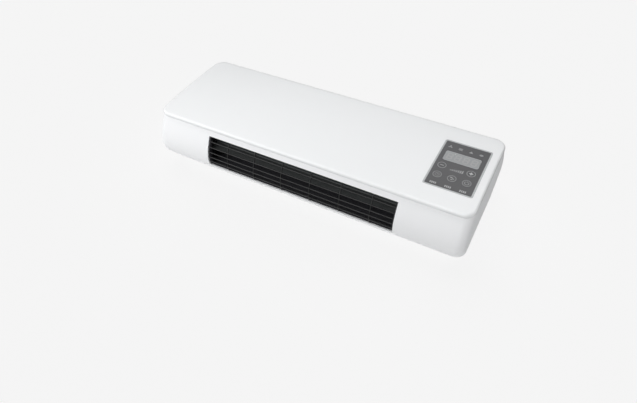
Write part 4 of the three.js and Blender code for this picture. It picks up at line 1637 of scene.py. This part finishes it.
@dataclass
class Studio:
    """The floor, the soft light and the camera."""

    ambient: float = 0.03
    azimuth: float = math.radians(30.65)
    elevation: float = math.radians(46.46)
    roll: float = math.radians(2.87)
    distance: float = 0.8151
    target: tuple[float, float, float] = (0.0485, -0.1137, 0.056)
    lens: float = 29.29
    floor_half: float = 6.0
    lamps: tuple[Lamp, ...] = (
        WideLight("ceiling_light", (0.0, 0.0, 1.0), 0.25, True, 60.0),
        WideLight("rear_ceiling_light", (-0.3, 0.5, 1.0), 1.13, True, 60.0),
        WideLight("left_window_light", (-1.0, -0.2, 0.6), 1.0, False, 50.0),
        WideLight("corner_light", (-1.0, -1.0, 0.4), 0.31, False, 40.0),
        WideLight("front_fill_light", (0.0, -1.0, 0.5), 1.29, False, 50.0),
        WideLight("right_fill_light", (1.0, 0.0, 0.3), 1.11, False, 60.0),
        WideLight("under_fill_light", (0.0, 0.0, -1.0), 2.1, False, 90.0),
        Softbox("near_softbox", (-0.5, -0.7, 0.35), 1.65, False, 0.4, 0.3),
    )

    def build(self) -> None:
        """Sets up the studio."""
        scene = bpy.context.scene
        scene.view_settings.view_transform = "Standard"
        shape = Shape()
        half = self.floor_half
        shape.mesh.faces.new(
            shape.points([(-half, -half, 0), (half, -half, 0), (half, half, 0), (-half, half, 0)]))
        floor = shape.as_object("studio_floor")
        floor.data.materials.append(FLOOR.material())
        floor.visible_diffuse = floor.visible_shadow = floor.visible_glossy = False
        self._backdrop()
        world = bpy.data.worlds.new("studio_air")
        world.use_nodes = True
        world.node_tree.nodes["Background"].inputs["Color"].default_value = (1.0, 1.0, 1.0, 1.0)
        world.node_tree.nodes["Background"].inputs["Strength"].default_value = self.ambient
        scene.world = world
        for lamp in self.lamps:
            lamp.build(floor)
        self._camera(scene)

    def _backdrop(self) -> None:
        """Stands paper all round the floor, which is seen but lights nothing."""
        shape = Shape()
        rings = [
            shape.points((*flat, height) for flat in ring_points((0.0, 0.0), self.floor_half * 0.98, 64))
            for height in (-self.floor_half, self.floor_half)]
        shape.band(*rings)
        backdrop = shape.as_object("studio_backdrop")
        backdrop.data.materials.append(BACKDROP.material())
        backdrop.visible_diffuse = backdrop.visible_glossy = backdrop.visible_shadow = False

    def _camera(self, scene: bpy.types.Scene) -> None:
        """Aims the camera."""
        data = bpy.data.cameras.new("camera")
        data.lens = self.lens
        data.sensor_width = 36.0
        camera = bpy.data.objects.new("camera", data)
        out = Vector((
            math.sin(self.azimuth) * math.cos(self.elevation),
            -math.cos(self.azimuth) * math.cos(self.elevation),
            math.sin(self.elevation)))
        target = Vector(self.target)
        camera.location = target + out * self.distance
        level = (-out).to_track_quat("-Z", "Y").to_matrix().to_4x4()
        turned = level @ Matrix.Rotation(-self.roll, 4, "Z")
        camera.rotation_euler = turned.to_euler()
        scene.collection.objects.link(camera)
        scene.camera = camera


def main() -> None:
    """Builds the heater in order, from the studio to the inner parts."""
    logging.basicConfig(level=logging.INFO, format="%(name)s: %(message)s")
    Studio().build()
    InnerParts().build()
    form = CaseForm()
    cover = PanelCover(form)
    for assembly in (
        Casing(form), cover, OutletGrille(form), IntakeFilter(form), TouchControls(cover), MainsEntry(), Feet(), Blower(),
    ):
        assembly.build()
    bpy.context.view_layer.update()


if __name__ == "__main__":
    main()
